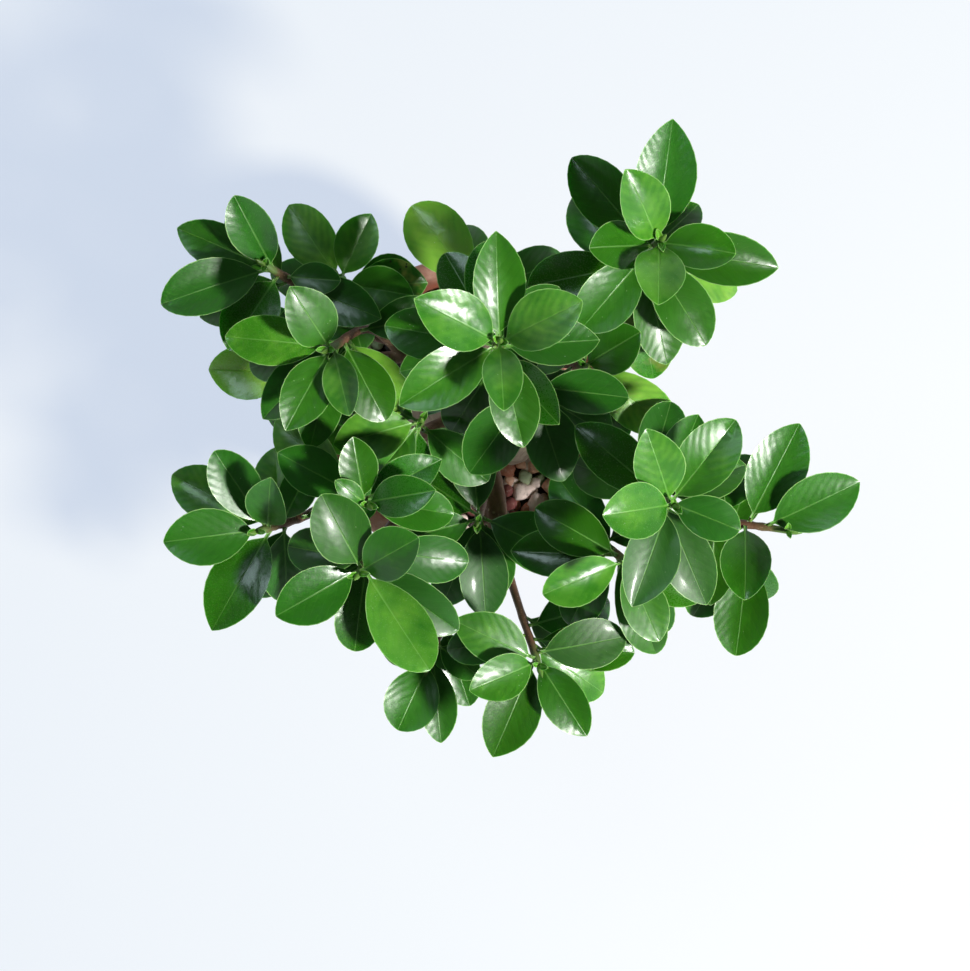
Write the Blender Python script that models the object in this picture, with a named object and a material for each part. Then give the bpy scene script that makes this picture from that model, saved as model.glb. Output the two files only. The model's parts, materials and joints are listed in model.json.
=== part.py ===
"""Ficus bonsai in a round pot. Metres, +Z up, standing on z = 0 under the pot's middle.

Seen from above, +X is to the right and +Y is to the back.
"""

import math
import random
from collections import namedtuple

import bmesh
import bpy
from mathutils import Vector
from mathutils.bvhtree import BVHTree

MM = 0.001
GAP = 0.3 * MM
UP = Vector((0, 0, 1))
GOLDEN_ANGLE = 137.5
SEED = 20

# Pot
POT_HEIGHT = 105 * MM
RIM_RADIUS = 65 * MM
RIM_BAND = 13 * MM
BAND_STEP = 3 * MM
BASE_RADIUS = 47 * MM
WALL = 4.5 * MM
FLOOR = 8 * MM
POT_SIDES = 36
EDGE_ROUND = 2 * MM
DRAIN_RADIUS = 5 * MM
DRAIN_CIRCLE = 26 * MM
DRAIN_SIDES = 12
DRAINS = 3

# Soil and gravel
SOIL_TOP = 86 * MM
GRAVEL_TOP = 93 * MM
GRAVEL_SKIRT = 5 * MM
PEBBLE = 10 * MM
PEBBLE_RISE = 2.6 * MM
PEBBLE_UNEVEN = 0.9 * MM
PEBBLE_SLIP = 0.22
ROOT_DEPTH = 20 * MM
ROOT_COLLAR = 2 * MM

# Wood
WOOD_SIDES = 6
TRUNK_SIDES = 10
STEM_SIDES = 6
LINE_STEPS = 3
MAIN_BRANCH_RADIUS = 4.2 * MM
SIDE_BRANCH_RADIUS = 2.8 * MM
FOOT_RADIUS = 1.9 * MM
TIP_RADIUS = 1.35 * MM
BUD_LENGTH = 6 * MM
BUD_SHOULDER = 0.45
BUD_SHOULDER_RADIUS = 1.15 * MM
BUD_POINT_RADIUS = 0.3 * MM
LOWEST_LEAF = 0.3
BARK_SHARP_DEGREES = 60

# Leaves
THICKNESS = 0.8 * MM
PETIOLE_SHARE = 0.12
PETIOLE_HALF_WIDTH = 0.9 * MM
PETIOLE_HALF_DEPTH = 0.7 * MM
STATIONS = (0.34, 0.6, 0.84)
BASE_BLUNTNESS = 0.8
BLADE_MIDDLE = 0.55
ROLL_DEGREES = (-13, 13)
FOLD_DEGREES = (13, 24)
ARCH_DEGREES = (16, 38)
TIP_BLUNTNESS = (0.62, 0.86)

# Room between leaves, and the changes of rise and heading that a leaf may take to find it
CLEARANCE = 0.9 * MM
NEAR_CLEARANCE = 0.2 * MM
NEIGHBOUR_REACH = 48 * MM
RISE_CHANGES = tuple(range(-42, 43, 6))
SEEN_TURNS = (0, 5, -5, 10, -10)
LOWER_TURNS = (0, 10, -10, 20, -20, 35, -35)

# Lower leaves, which follow each other down the stem
LOWER_STEP_MM = 5.5
LOWER_LENGTH_MM = (33, 38)
LOWER_WIDTH_SHARE = 0.52
LOWER_RISE_DEGREES = -14
LOWER_DROP_DEGREES = 5

# Swollen roots and trunk: the points of each middle line, with its radius there, in mm.
# Each starts as an upright round peg in the soil.
ROOTS = {
    "heart": (
        (0, 2, 14), (1, 3, 17.5, 112), (3, 2, 18, 128), (5, 0, 13.5, 146), (4, -3, 8.5, 160),
        (4, -4, 4, 169)
    ),
    "front": ((19, -13, 8), (20, -13, 10.5, 108), (15, -9, 11, 124), (8, -4, 9, 142), (5, -2, 4, 152)),
    "left": ((-22, -8, 7.5), (-21, -7, 10, 107), (-14, -3, 10.5, 123), (-5, -1, 8, 141), (1, -1, 4, 151)),
    "back": ((3, 24, 7), (3, 22, 9.5, 108), (4, 14, 10, 124), (5, 6, 8, 142), (4, 1, 4, 152)),
}

# Leafy shoots. Each branch leaves the trunk's top, or another branch, at a share of its length, and runs
# through its bend to its foot, where the green shoot starts and runs to its tip. Places are in mm.
# A leaf is: mm below the tip, heading in degrees from +X, rise in degrees, length and width in mm.
# The last number is how many more leaves grow below those.
Shoot = namedtuple("Shoot", "name parent share bend foot tip leaves more")
TRUNK_FORKS = ((4, 0, 147), (4, -4, 165))
SHOOTS = (
    Shoot("shoot_crown", "", 1, (10, 4, 186), (12, 12, 216), (14, 18, 268), (
        (3, 92, 16, 40, 20), (4, 212, 5, 42, 21), (2, 155, 25, 38, 21), (3, 25, 22, 36, 21),
        (1, 273, 36, 31, 15), (9, 98, -3, 38, 19), (8, 170, 0, 41, 20), (10, 284, -5, 37, 19),
        (11, 4, -2, 36, 18), (14, 119, -8, 40, 18), (16, 192, -12, 37, 19), (21, 47, -14, 34, 18)), 5),
    Shoot("shoot_back_right", "", 0.55, (30, 18, 180), (54, 40, 206), (71, 55, 252), (
        (4, 83, 12, 45, 23), (2, 120, 42, 36, 20), (1, 266, 38, 31, 19), (2, 349, 30, 30, 18),
        (5, 186, 32, 29, 19), (8, 352, -3, 47, 21), (9, 130, -2, 44, 22), (11, 229, -4, 37, 21),
        (12, 303, -3, 40, 21), (17, 285, -16, 41, 20), (20, 44, -15, 33, 16),
        (23, 190, -18, 42, 21), (26, 283, -24, 45, 21), (19, 346, -24, 43, 19)), 3),
    Shoot("shoot_right", "", 0.3, (34, -14, 178), (62, -30, 204), (76, -39, 252), (
        (3, 112, 38, 36, 19), (4, 53, 16, 39, 22), (1, 188, 36, 33, 21), (5, 250, 5, 40, 22),
        (7, 338, 8, 28, 17), (9, 140, -2, 43, 20), (12, 67, -6, 34, 19), (14, 294, -12, 44, 20),
        (17, 20, -14, 36, 19)), 3),
    Shoot("shoot_far_right", "shoot_right", 0.72, (68, -32, 192), (88, -43, 201), (122, -49, 212), (
        (9, 26, 12, 40, 22), (15, 64, 10, 43, 23), (16, 265, 34, 34, 20), (22, 130, -10, 34, 19)), 2),
    Shoot("shoot_right_edge", "shoot_right", 0.66, (70, -42, 180), (91, -51, 184), (112, -57, 196), (
        (3, 264, -2, 42, 22), (6, 296, -36, 30, 18), (8, 240, -12, 33, 18), (12, 70, -20, 33, 18)), 1),
    Shoot("shoot_right_front", "shoot_right", 0.45, (44, -36, 178), (50, -50, 190), (62, -61, 222), (
        (4, 202, 12, 34, 19), (6, 294, 0, 34, 18), (8, 150, -4, 37, 20), (10, 178, -10, 41, 20),
        (12, 127, -12, 39, 19), (13, 293, -18, 45, 19), (15, 332, -12, 39, 19),
        (17, 306, -22, 43, 18), (20, 245, -20, 36, 19)), 1),
    Shoot("shoot_right_inner", "shoot_back_right", 0.5, (38, 16, 186), (42, 14, 196), (46, 12, 222), (
        (3, 30, 28, 30, 20), (5, 77, -4, 34, 19), (8, 332, -16, 46, 21), (10, 300, -14, 36, 19)), 2),
    Shoot("shoot_middle", "", 0.85, (16, -2, 182), (22, 2, 204), (27, 4, 240), (
        (4, 353, 6, 35, 18), (7, 289, -12, 37, 21), (10, 234, -14, 40, 22), (13, 330, -16, 37, 20)), 1),
    Shoot("shoot_left_high", "", 0.7, (-16, 12, 180), (-34, 27, 204), (-48, 17, 240), (
        (2, 122, 40, 32, 20), (4, 175, 8, 39, 19), (3, 243, 18, 36, 19), (5, 285, 30, 31, 14),
        (8, 225, -4, 39, 19), (10, 254, -8, 41, 17), (14, 298, -6, 34, 19), (16, 195, -24, 42, 20),
        (18, 306, -22, 37, 19), (20, 268, -22, 38, 20), (22, 235, -26, 40, 18)), 2),
    Shoot("shoot_back_left", "", 0.2, (-22, 20, 172), (-38, 34, 184), (-47, 47, 206), (
        (4, 124, -2, 36, 20), (3, 64, 10, 28, 18), (5, 350, 6, 28, 20), (8, 4, -8, 32, 21),
        (7, 285, -6, 27, 17), (11, 22, -18, 29, 18)), 2),
    Shoot("shoot_back", "", 0.0, (4, 20, 168), (3, 33, 176), (7, 46, 190), (
        (3, 129, -4, 42, 25), (4, 20, -14, 38, 21), (6, 100, -24, 32, 18)), 2),
    Shoot("shoot_left_edge", "shoot_left_high", 0.6, (-38, 16, 186), (-48, 12, 186), (-62, 11, 198), (
        (3, 178, -6, 38, 23), (5, 238, -8, 29, 18), (7, 130, -10, 34, 19), (9, 290, -12, 35, 19)), 1),
    Shoot("shoot_far_left", "shoot_back_left", 0.62, (-42, 30, 184), (-56, 40, 204), (-72, 49, 226), (
        (2, 157, 2, 37, 18), (3, 200, 8, 43, 22), (5, 116, 40, 36, 18), (8, 238, 18, 35, 22),
        (13, 134, -6, 34, 19), (11, 355, 12, 22, 13), (15, 200, -14, 39, 20)), 1),
    Shoot("shoot_left_middle", "", 0.5, (-20, -14, 176), (-46, -27, 203), (-34, -39, 235), (
        (3, 98, 28, 27, 15), (5, 27, 4, 33, 17), (2, 10, 26, 30, 16), (1, 142, 35, 17, 8),
        (7, 350, -6, 35, 18), (14, 152, 2, 32, 19), (17, 138, -14, 40, 20)), 2),
    Shoot("shoot_left_low", "shoot_left_middle", 0.75, (-46, -34, 196), (-58, -43, 206), (-75, -49, 226), (
        (3, 187, 10, 37, 22), (5, 122, 20, 36, 19), (6, 80, 52, 31, 18), (8, 240, 5, 45, 23),
        (9, 154, -8, 44, 22), (12, 96, -14, 33, 18), (13, 62, -8, 26, 15), (14, 270, -26, 34, 19),
        (16, 247, -16, 36, 19)), 1),
    Shoot("shoot_front_left", "", 0.35, (-12, -28, 176), (-27, -47, 198), (-37, -64, 238), (
        (4, 116, 28, 35, 23), (5, 209, 8, 36, 21), (2, 30, 28, 31, 20), (6, 303, 3, 45, 23),
        (9, 324, -6, 43, 20), (11, 262, -12, 35, 19), (13, 171, -8, 31, 19),
        (16, 215, -20, 36, 19)), 2),
    Shoot("shoot_front", "", 0.1, (14, -36, 166), (17, -62, 174), (29, -100, 206), (
        (3, 154, 12, 36, 20), (2, 201, 14, 31, 18), (4, 247, -4, 42, 22), (4, 303, 4, 36, 18),
        (6, 10, 4, 36, 20), (19, 14, -6, 40, 22), (11, 324, -22, 38, 21), (13, 352, -16, 41, 20),
        (15, 192, -14, 33, 17)), 1),
    Shoot("shoot_front_low", "shoot_front", 0.5, (4, -52, 166), (-6, -80, 166), (-13, -102, 176), (
        (2, 245, 8, 31, 22), (5, 275, -8, 37, 16), (7, 185, -14, 22, 13), (9, 322, -6, 22, 13),
        (13, 150, -10, 32, 17)), 1),
    Shoot("shoot_inner_left", "shoot_left_middle", 0.35, (-16, -12, 180), (-17, -11, 188), (-15, -8, 218), (
        (3, 195, -2, 34, 20), (5, 230, -8, 33, 19), (7, 255, -10, 32, 19), (9, 320, -8, 34, 19),
        (6, 150, 0, 33, 18), (12, 60, -12, 35, 19)), 2),
    Shoot("shoot_inner_front", "shoot_front", 0.35, (8, -30, 170), (8, -38, 176), (6, -46, 196), (
        (3, 195, 4, 34, 18), (5, 274, -4, 40, 20), (7, 290, -18, 34, 18), (6, 335, -2, 42, 24),
        (4, 95, 2, 36, 20), (6, 146, -8, 35, 21), (9, 248, -18, 42, 19)), 0),
)


def clear_scene():
    for thing in list(bpy.data.objects):
        bpy.data.objects.remove(thing, do_unlink=True)


def principled(name, colour, roughness):
    material = bpy.data.materials.new(name)
    material.use_nodes = True
    shader = material.node_tree.nodes["Principled BSDF"]
    shader.inputs["Base Color"].default_value = (*colour, 1)
    shader.inputs["Roughness"].default_value = roughness
    shader.inputs["Metallic"].default_value = 0
    return material


def add_object(name, mesh, material=None):
    thing = bpy.data.objects.new(name, mesh)
    bpy.context.scene.collection.objects.link(thing)
    if material:
        mesh.materials.append(material)
    return thing


def mesh_from_bmesh(name, shape):
    mesh = bpy.data.meshes.new(name)
    shape.to_mesh(mesh)
    shape.free()
    return mesh


def shade_round(thing, sharp_degrees=35):
    thing.data.shade_smooth()
    thing.data.set_sharp_from_angle(angle=math.radians(sharp_degrees))


def turned(name, profile, sides):
    """A solid of revolution from (radius, height) points that start and end on the axis."""
    shape = bmesh.new()
    points = [shape.verts.new((radius, 0, height)) for radius, height in profile]
    edges = [shape.edges.new(pair) for pair in zip(points, points[1:])]
    bmesh.ops.spin(
        shape,
        geom=points + edges,
        cent=(0, 0, 0),
        axis=(0, 0, 1),
        angle=math.tau,
        steps=sides,
        use_merge=True,
    )
    bmesh.ops.remove_doubles(shape, verts=shape.verts, dist=1e-6)
    bmesh.ops.recalc_face_normals(shape, faces=shape.faces)
    return mesh_from_bmesh(name, shape)


def cut(thing, cutter, operation="DIFFERENCE"):
    cutter.hide_render = True
    cutter.display_type = "WIRE"
    boolean = thing.modifiers.new("cut " + cutter.name, "BOOLEAN")
    boolean.operation = operation
    boolean.solver = "EXACT"
    boolean.object = cutter


def apply_modifiers(thing):
    """Keeps the evaluated mesh in place of the stacked modifiers."""
    graph = bpy.context.evaluated_depsgraph_get()
    mesh = bpy.data.meshes.new_from_object(thing.evaluated_get(graph))
    mesh.name = thing.name
    thing.modifiers.clear()
    thing.data = mesh


def inner_radius(height):
    """Radius of the pot's tapered inner wall."""
    top = RIM_RADIUS - BAND_STEP - WALL
    bottom = BASE_RADIUS - WALL
    return bottom + (top - bottom) * (height - FLOOR) / (POT_HEIGHT - FLOOR)


def make_pot():
    wall_top = RIM_RADIUS - BAND_STEP
    band_bottom = POT_HEIGHT - RIM_BAND
    outer_slope = (wall_top - BASE_RADIUS) / POT_HEIGHT
    profile = (
        (0, 0),
        (BASE_RADIUS - EDGE_ROUND, 0),
        (BASE_RADIUS, EDGE_ROUND),
        (BASE_RADIUS + outer_slope * (band_bottom - EDGE_ROUND), band_bottom - EDGE_ROUND),
        (RIM_RADIUS - EDGE_ROUND / 2, band_bottom),
        (RIM_RADIUS, band_bottom + EDGE_ROUND),
        (RIM_RADIUS, POT_HEIGHT - EDGE_ROUND),
        (RIM_RADIUS - EDGE_ROUND, POT_HEIGHT),
        (inner_radius(POT_HEIGHT) + EDGE_ROUND, POT_HEIGHT),
        (inner_radius(POT_HEIGHT - EDGE_ROUND), POT_HEIGHT - EDGE_ROUND),
        (inner_radius(FLOOR), FLOOR),
        (0, FLOOR),
    )
    clay = principled("fired clay", (0.24, 0.075, 0.05), 0.72)
    pot = add_object("pot", turned("pot", profile, POT_SIDES), clay)
    for number in range(DRAINS):
        turn = math.tau * number / DRAINS
        shape = bmesh.new()
        bmesh.ops.create_cone(
            shape,
            cap_ends=True,
            segments=DRAIN_SIDES,
            radius1=DRAIN_RADIUS,
            radius2=DRAIN_RADIUS,
            depth=4 * FLOOR,
        )
        drill = add_object(f"drain {number + 1}", mesh_from_bmesh("drain", shape))
        drill.location = (DRAIN_CIRCLE * math.cos(turn), DRAIN_CIRCLE * math.sin(turn), 0)
        cut(pot, drill)
    shade_round(pot)


def smooth_line(points, per_span):
    """A smooth curve through the given points, with a few steps between each two."""
    padded = [points[0] * 2 - points[1], *points, points[-1] * 2 - points[-2]]
    line = []
    for before, start, end, after in zip(padded, padded[1:], padded[2:], padded[3:]):
        for step in range(per_span):
            t = step / per_span
            line.append(
                0.5
                * (
                    2 * start
                    + (end - before) * t
                    + (2 * before - 5 * start + 4 * end - after) * t**2
                    + (3 * start - before - 3 * end + after) * t**3
                )
            )
    line.append(points[-1].copy())
    return line


def tube(line, radii, sides, first=None, last=None):
    """Points and faces of a closed round tube along a line. An end is square to it, or to a direction."""
    points = []
    faces = []
    side = None
    end = len(line) - 1
    for number, (centre, radius) in enumerate(zip(line, radii)):
        forward = (line[min(number + 1, end)] - line[max(number - 1, 0)]).normalized()
        if number == 0 and first:
            forward = first
        if number == end and last:
            forward = last
        if side is None:
            side = forward.orthogonal().normalized() if abs(forward.z) < 0.99 else Vector((1, 0, 0))
        side = (side - forward * side.dot(forward)).normalized()
        across = forward.cross(side)
        for corner in range(sides):
            angle = math.tau * corner / sides
            points.append(centre + (side * math.cos(angle) + across * math.sin(angle)) * radius)
    for ring in range(end):
        for corner in range(sides):
            a = ring * sides + corner
            b = ring * sides + (corner + 1) % sides
            faces.append((a, b, b + sides, a + sides))
    faces.append(tuple(range(sides))[::-1])
    faces.append(tuple(range(end * sides, (end + 1) * sides)))
    return points, faces


def mesh_of(name, points, faces):
    mesh = bpy.data.meshes.new(name)
    mesh.from_pydata(points, [], faces)
    return mesh


def join_all(name, meshes, material):
    """Fuses closed meshes that run into each other into one body."""
    body = add_object(name, meshes[0], material)
    others = bpy.data.collections.new(name + " pieces")
    for mesh in meshes[1:]:
        others.objects.link(bpy.data.objects.new("piece", mesh))
    bpy.context.scene.collection.children.link(others)
    union = body.modifiers.new("join", "BOOLEAN")
    union.operation = "UNION"
    union.operand_type = "COLLECTION"
    union.collection = others
    union.solver = "EXACT"
    apply_modifiers(body)
    for piece in list(others.objects):
        bpy.data.objects.remove(piece, do_unlink=True)
    bpy.data.collections.remove(others)
    drop_scraps(body.data)
    return body


def drop_scraps(mesh):
    """Merges points that a union left on top of each other, and keeps only the largest body."""
    shape = bmesh.new()
    shape.from_mesh(mesh)
    bmesh.ops.remove_doubles(shape, verts=shape.verts, dist=1e-6)
    bodies = []
    unseen = set(shape.faces)
    while unseen:
        body = set()
        edge = [unseen.pop()]
        while edge:
            face = edge.pop()
            body.add(face)
            for side in face.edges:
                for other in side.link_faces:
                    if other in unseen:
                        unseen.discard(other)
                        edge.append(other)
        bodies.append(body)
    bodies.sort(key=len)
    scraps = [face for body in bodies[:-1] for face in body]
    bmesh.ops.delete(shape, geom=scraps, context="FACES")
    shape.to_mesh(mesh)
    shape.free()


def root_line(root):
    """Middle line and radii of a swollen root: its upright peg in the soil, then its free part."""
    (x, y, peg), *rest = ROOTS[root]
    line = [
        Vector((x, y, 0)) * MM + UP * (SOIL_TOP - ROOT_DEPTH),
        Vector((x, y, 0)) * MM + UP * (GRAVEL_TOP + ROOT_COLLAR),
    ]
    line += [Vector((x, y, z)) * MM for x, y, _, z in rest]
    return line, [peg * MM] * 2 + [radius * MM for _, _, radius, _ in rest]


def root_hole(root):
    """A plain round hole, a hair wider than the root's peg, from a hair under it to above the gravel."""
    x, y, peg = ROOTS[root][0]
    foot = Vector((x, y, 0)) * MM
    wide = peg * MM + GAP / math.cos(math.pi / TRUNK_SIDES)
    line = [foot + UP * (SOIL_TOP - ROOT_DEPTH - GAP), foot + UP * POT_HEIGHT]
    hole = add_object(f"hole for {root} root", mesh_of("hole", *tube(line, [wide] * 2, TRUNK_SIDES)))
    hole.hide_render = True
    hole.display_type = "WIRE"
    return hole


def make_soil(holes):
    earth = principled("earth", (0.045, 0.028, 0.018), 0.95)
    low = FLOOR + GAP
    profile = (
        (0, low),
        (inner_radius(low) - GAP, low),
        (inner_radius(SOIL_TOP) - GAP, SOIL_TOP),
        (0, SOIL_TOP),
    )
    soil = add_object("soil", turned("soil", profile, POT_SIDES), earth)
    for hole in holes:
        cut(soil, hole)


def pebble_relief():
    """A slab whose top is a lattice of low points round high ones, one high point for each pebble."""
    draw = random.Random(SEED)
    step = PEBBLE / math.sqrt(3)
    reach = math.ceil(RIM_RADIUS / step) + 2
    shape = bmesh.new()
    lattice = {}
    for row in range(-reach, reach + 1):
        for column in range(-reach, reach + 1):
            x = (column + row / 2) * step
            y = row * step * math.sqrt(3) / 2
            high = (column - row) % 3 == 0
            if math.hypot(x, y) > RIM_RADIUS + step:
                continue
            height = GRAVEL_TOP - draw.uniform(0, PEBBLE_UNEVEN) - (0 if high else PEBBLE_RISE)
            x += draw.uniform(-PEBBLE_SLIP, PEBBLE_SLIP) * step
            y += draw.uniform(-PEBBLE_SLIP, PEBBLE_SLIP) * step
            lattice[column, row] = shape.verts.new((x, y, height))
    for column, row in list(lattice):
        for ring in (((0, 0), (1, 0), (0, 1)), ((1, 0), (1, 1), (0, 1))):
            corners = [lattice.get((column + a, row + b)) for a, b in ring]
            if None not in corners:
                shape.faces.new(corners)
    loose = [vert for vert in shape.verts if not vert.link_faces]
    bmesh.ops.delete(shape, geom=loose, context="VERTS")
    rim = [edge for edge in shape.edges if edge.is_boundary]
    skirt = bmesh.ops.extrude_edge_only(shape, edges=rim)["geom"]
    for vert in skirt:
        if isinstance(vert, bmesh.types.BMVert):
            vert.co.z = SOIL_TOP - GRAVEL_SKIRT
    bmesh.ops.holes_fill(shape, edges=[edge for edge in shape.edges if edge.is_boundary], sides=0)
    bmesh.ops.recalc_face_normals(shape, faces=shape.faces)
    return mesh_from_bmesh("gravel", shape)


def make_gravel(holes):
    stone = principled("pebbles", (0.42, 0.27, 0.2), 0.85)
    gravel = add_object("gravel", pebble_relief(), stone)
    low = SOIL_TOP + GAP
    profile = (
        (0, low),
        (inner_radius(low) - GAP, low),
        (inner_radius(POT_HEIGHT) - GAP, POT_HEIGHT),
        (0, POT_HEIGHT),
    )
    inside = add_object("inside of the pot", turned("inside", profile, POT_SIDES))
    cut(gravel, inside, "INTERSECT")
    for hole in holes:
        cut(gravel, hole)


def course(shoot, by_name):
    """The curve of a whole branch and its shoot, and how many of its points belong to the branch."""
    if shoot.parent:
        parent, count = course(by_name[shoot.parent], by_name)
        start = parent[round((count - 1) * shoot.share)]
    else:
        start = Vector(TRUNK_FORKS[0]).lerp(Vector(TRUNK_FORKS[1]), shoot.share) * MM
    corners = [start, Vector(shoot.bend) * MM, Vector(shoot.foot) * MM, Vector(shoot.tip) * MM]
    return smooth_line(corners, LINE_STEPS), 2 * LINE_STEPS + 1


def branch_tube(shoot, by_name):
    """The brown branch, ending square to its course, half a gap short of the shoot's foot."""
    line, count = course(shoot, by_name)
    forward = (line[count] - line[count - 2]).normalized()
    part = line[:count]
    part[-1] = part[-1] - forward * GAP / 2
    thick = SIDE_BRANCH_RADIUS if shoot.parent else MAIN_BRANCH_RADIUS
    radii = [thick + (FOOT_RADIUS - thick) * n / (count - 1) for n in range(count)]
    return tube(part, radii, WOOD_SIDES, last=forward)


def stem_line(shoot, by_name):
    line, count = course(shoot, by_name)
    part = line[count - 1 :]
    part[0] = part[0] + (line[count] - line[count - 2]).normalized() * GAP / 2
    return part


def stem_tube(shoot, by_name):
    """The green stem, ending in a pointed bud. Its foot is square to the course of branch and stem."""
    whole, count = course(shoot, by_name)
    first = (whole[count] - whole[count - 2]).normalized()
    line = stem_line(shoot, by_name)
    forward = (line[-1] - line[-2]).normalized()
    last = len(line) - 1
    radii = [FOOT_RADIUS + (TIP_RADIUS - FOOT_RADIUS) * n / last for n in range(last + 1)]
    line += [line[-1] + forward * BUD_LENGTH * BUD_SHOULDER, line[-1] + forward * BUD_LENGTH]
    return tube(line, radii + [BUD_SHOULDER_RADIUS, BUD_POINT_RADIUS], STEM_SIDES, first=first)


def point_below_tip(line, distance):
    """The point of a stem's middle line that lies so far below its tip."""
    left = distance
    for upper, lower in zip(line[::-1], line[-2::-1]):
        span = (upper - lower).length
        if left <= span:
            return upper.lerp(lower, left / span)
        left -= span
    return line[0].lerp(line[1], LOWEST_LEAF)


def half_width(leaf, along):
    """Half the blade's width: widest near its middle, with a rounded base and a short blunt point."""
    if along <= PETIOLE_SHARE:
        return PETIOLE_HALF_WIDTH
    u = (along - PETIOLE_SHARE) / (1 - PETIOLE_SHARE)
    widest = BASE_BLUNTNESS / (BASE_BLUNTNESS + leaf["point"])
    shape = (u / widest) ** BASE_BLUNTNESS * ((1 - u) / (1 - widest)) ** leaf["point"] if u < 1 else 0
    return leaf["width"] / 2 * shape


def leaf_section(leaf, along):
    """Middle, left-hand direction and upper direction of the blade at a share of its length."""
    heading = math.radians(leaf["heading"])
    outward = Vector((math.cos(heading), math.sin(heading), 0))
    left = UP.cross(outward)
    arch = math.radians(leaf["arch"])
    start = math.radians(leaf["rise"]) + arch / 2
    now = start - arch * along
    radius = leaf["length"] / arch
    middle = leaf["root"] + outward * radius * (math.sin(start) - math.sin(now))
    middle = middle + UP * radius * (math.cos(now) - math.cos(start))
    forward = outward * math.cos(now) + UP * math.sin(now)
    upper = forward.cross(left)
    roll = math.radians(leaf["roll"]) * min(1, along * 2)
    turned_left = left * math.cos(roll) + upper * math.sin(roll)
    return middle, turned_left, upper * math.cos(roll) - left * math.sin(roll)


def leaf_row(leaf, along, wide, thick):
    """Three upper and three lower points across the blade, left, middle, right."""
    middle, left, upper = leaf_section(leaf, along)
    fold = math.radians(leaf["fold"])
    edge = upper * wide * math.sin(fold)
    across = left * wide * math.cos(fold)
    row = [middle + across + edge, middle, middle - across + edge]
    return [p + upper * thick / 2 for p in row] + [p - upper * thick / 2 for p in row]


def leaf_solid(leaf, extra=0.0, blade_only=False):
    """Points and faces of a thin closed leaf. Extra makes it fatter, to test for room."""
    points = []
    faces = []
    thick = THICKNESS + 2 * extra
    rows = [leaf_row(leaf, along, half_width(leaf, along) + extra, thick) for along in STATIONS]
    for row in rows:
        points += row
    for a, b in ((0, 6), (6, 12)):
        for left in (0, 1):
            p, q, r, s = a + left, a + left + 1, b + left + 1, b + left
            faces += [(p, q, r), (p, r, s)] if left else [(p, q, s), (q, r, s)]
            p, q, r, s = p + 3, q + 3, r + 3, s + 3
            faces += [(r, q, p), (s, r, p)] if left else [(s, q, p), (s, r, q)]
        faces += [(a, b, b + 3), (a, b + 3, a + 3), (a + 2, a + 5, b + 5), (a + 2, b + 5, b + 2)]
    middle, _, upper = leaf_section(leaf, 1 + extra / leaf["length"])
    tip = len(points)
    points += [middle + upper * thick / 2, middle - upper * thick / 2]
    faces += [(12, 13, tip), (13, 14, tip), (tip + 1, 16, 15), (tip + 1, 17, 16)]
    faces += [(12, tip, tip + 1), (12, tip + 1, 15), (14, 17, tip + 1), (14, tip + 1, tip)]
    if blade_only:
        return points, faces + [(1, 0, 3), (1, 3, 4), (2, 1, 4), (2, 4, 5)]
    middle, _, upper = leaf_section(leaf, 0)
    root = len(points)
    deep = PETIOLE_HALF_DEPTH + extra
    points += [middle + upper * deep, middle - upper * deep]
    faces += [(root, 1, 0), (root, 2, 1), (root + 1, 3, 4), (root + 1, 4, 5)]
    faces += [(root, 0, 3), (root, 3, root + 1), (root, root + 1, 5), (root, 5, 2)]
    return points, faces


def tree_of(points, faces):
    return BVHTree.FromPolygons(points, faces)


class Room:
    """Finds each leaf a place where it touches nothing, by turning it little by little."""

    def __init__(self, solid):
        self.solid = solid
        self.placed = []

    def is_free(self, leaf, owner):
        middle = leaf_section(leaf, BLADE_MIDDLE)[0]
        fat = None
        for other_owner, other_middle, whole, blade in self.placed:
            if (middle - other_middle).length > NEIGHBOUR_REACH:
                continue
            if fat is None:
                fat = tree_of(*leaf_solid(leaf, CLEARANCE))
                fat_blade = tree_of(*leaf_solid(leaf, NEAR_CLEARANCE, True))
            if other_owner == owner:
                if fat_blade.overlap(blade):
                    return False
            elif fat.overlap(whole):
                return False
        fat = fat or tree_of(*leaf_solid(leaf, CLEARANCE))
        return not any(fat.overlap(tree) for name, tree in self.solid if name != owner)

    def place(self, leaf, owner, turns):
        """Tries the smallest changes first. A leaf that finds no room is left out."""
        heading, rise = leaf["heading"], leaf["rise"]
        tries = [(change, turn) for change in RISE_CHANGES for turn in turns]
        for change, turn in sorted(tries, key=lambda pair: (abs(pair[0]) + 2 * abs(pair[1]), pair)):
            leaf["heading"] = heading + turn
            leaf["rise"] = rise + change
            if self.is_free(leaf, owner):
                whole = tree_of(*leaf_solid(leaf))
                blade = tree_of(*leaf_solid(leaf, 0, True))
                self.placed.append((owner, leaf_section(leaf, BLADE_MIDDLE)[0], whole, blade))
                return True
        return False


def new_leaf(draw, line, below, heading, rise, length, width):
    return {
        "root": point_below_tip(line, below * MM),
        "heading": heading,
        "rise": rise,
        "length": length * MM,
        "width": width * MM,
        "roll": draw.uniform(*ROLL_DEGREES),
        "fold": draw.uniform(*FOLD_DEGREES),
        "arch": draw.uniform(*ARCH_DEGREES),
        "point": draw.uniform(*TIP_BLUNTNESS),
    }


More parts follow.
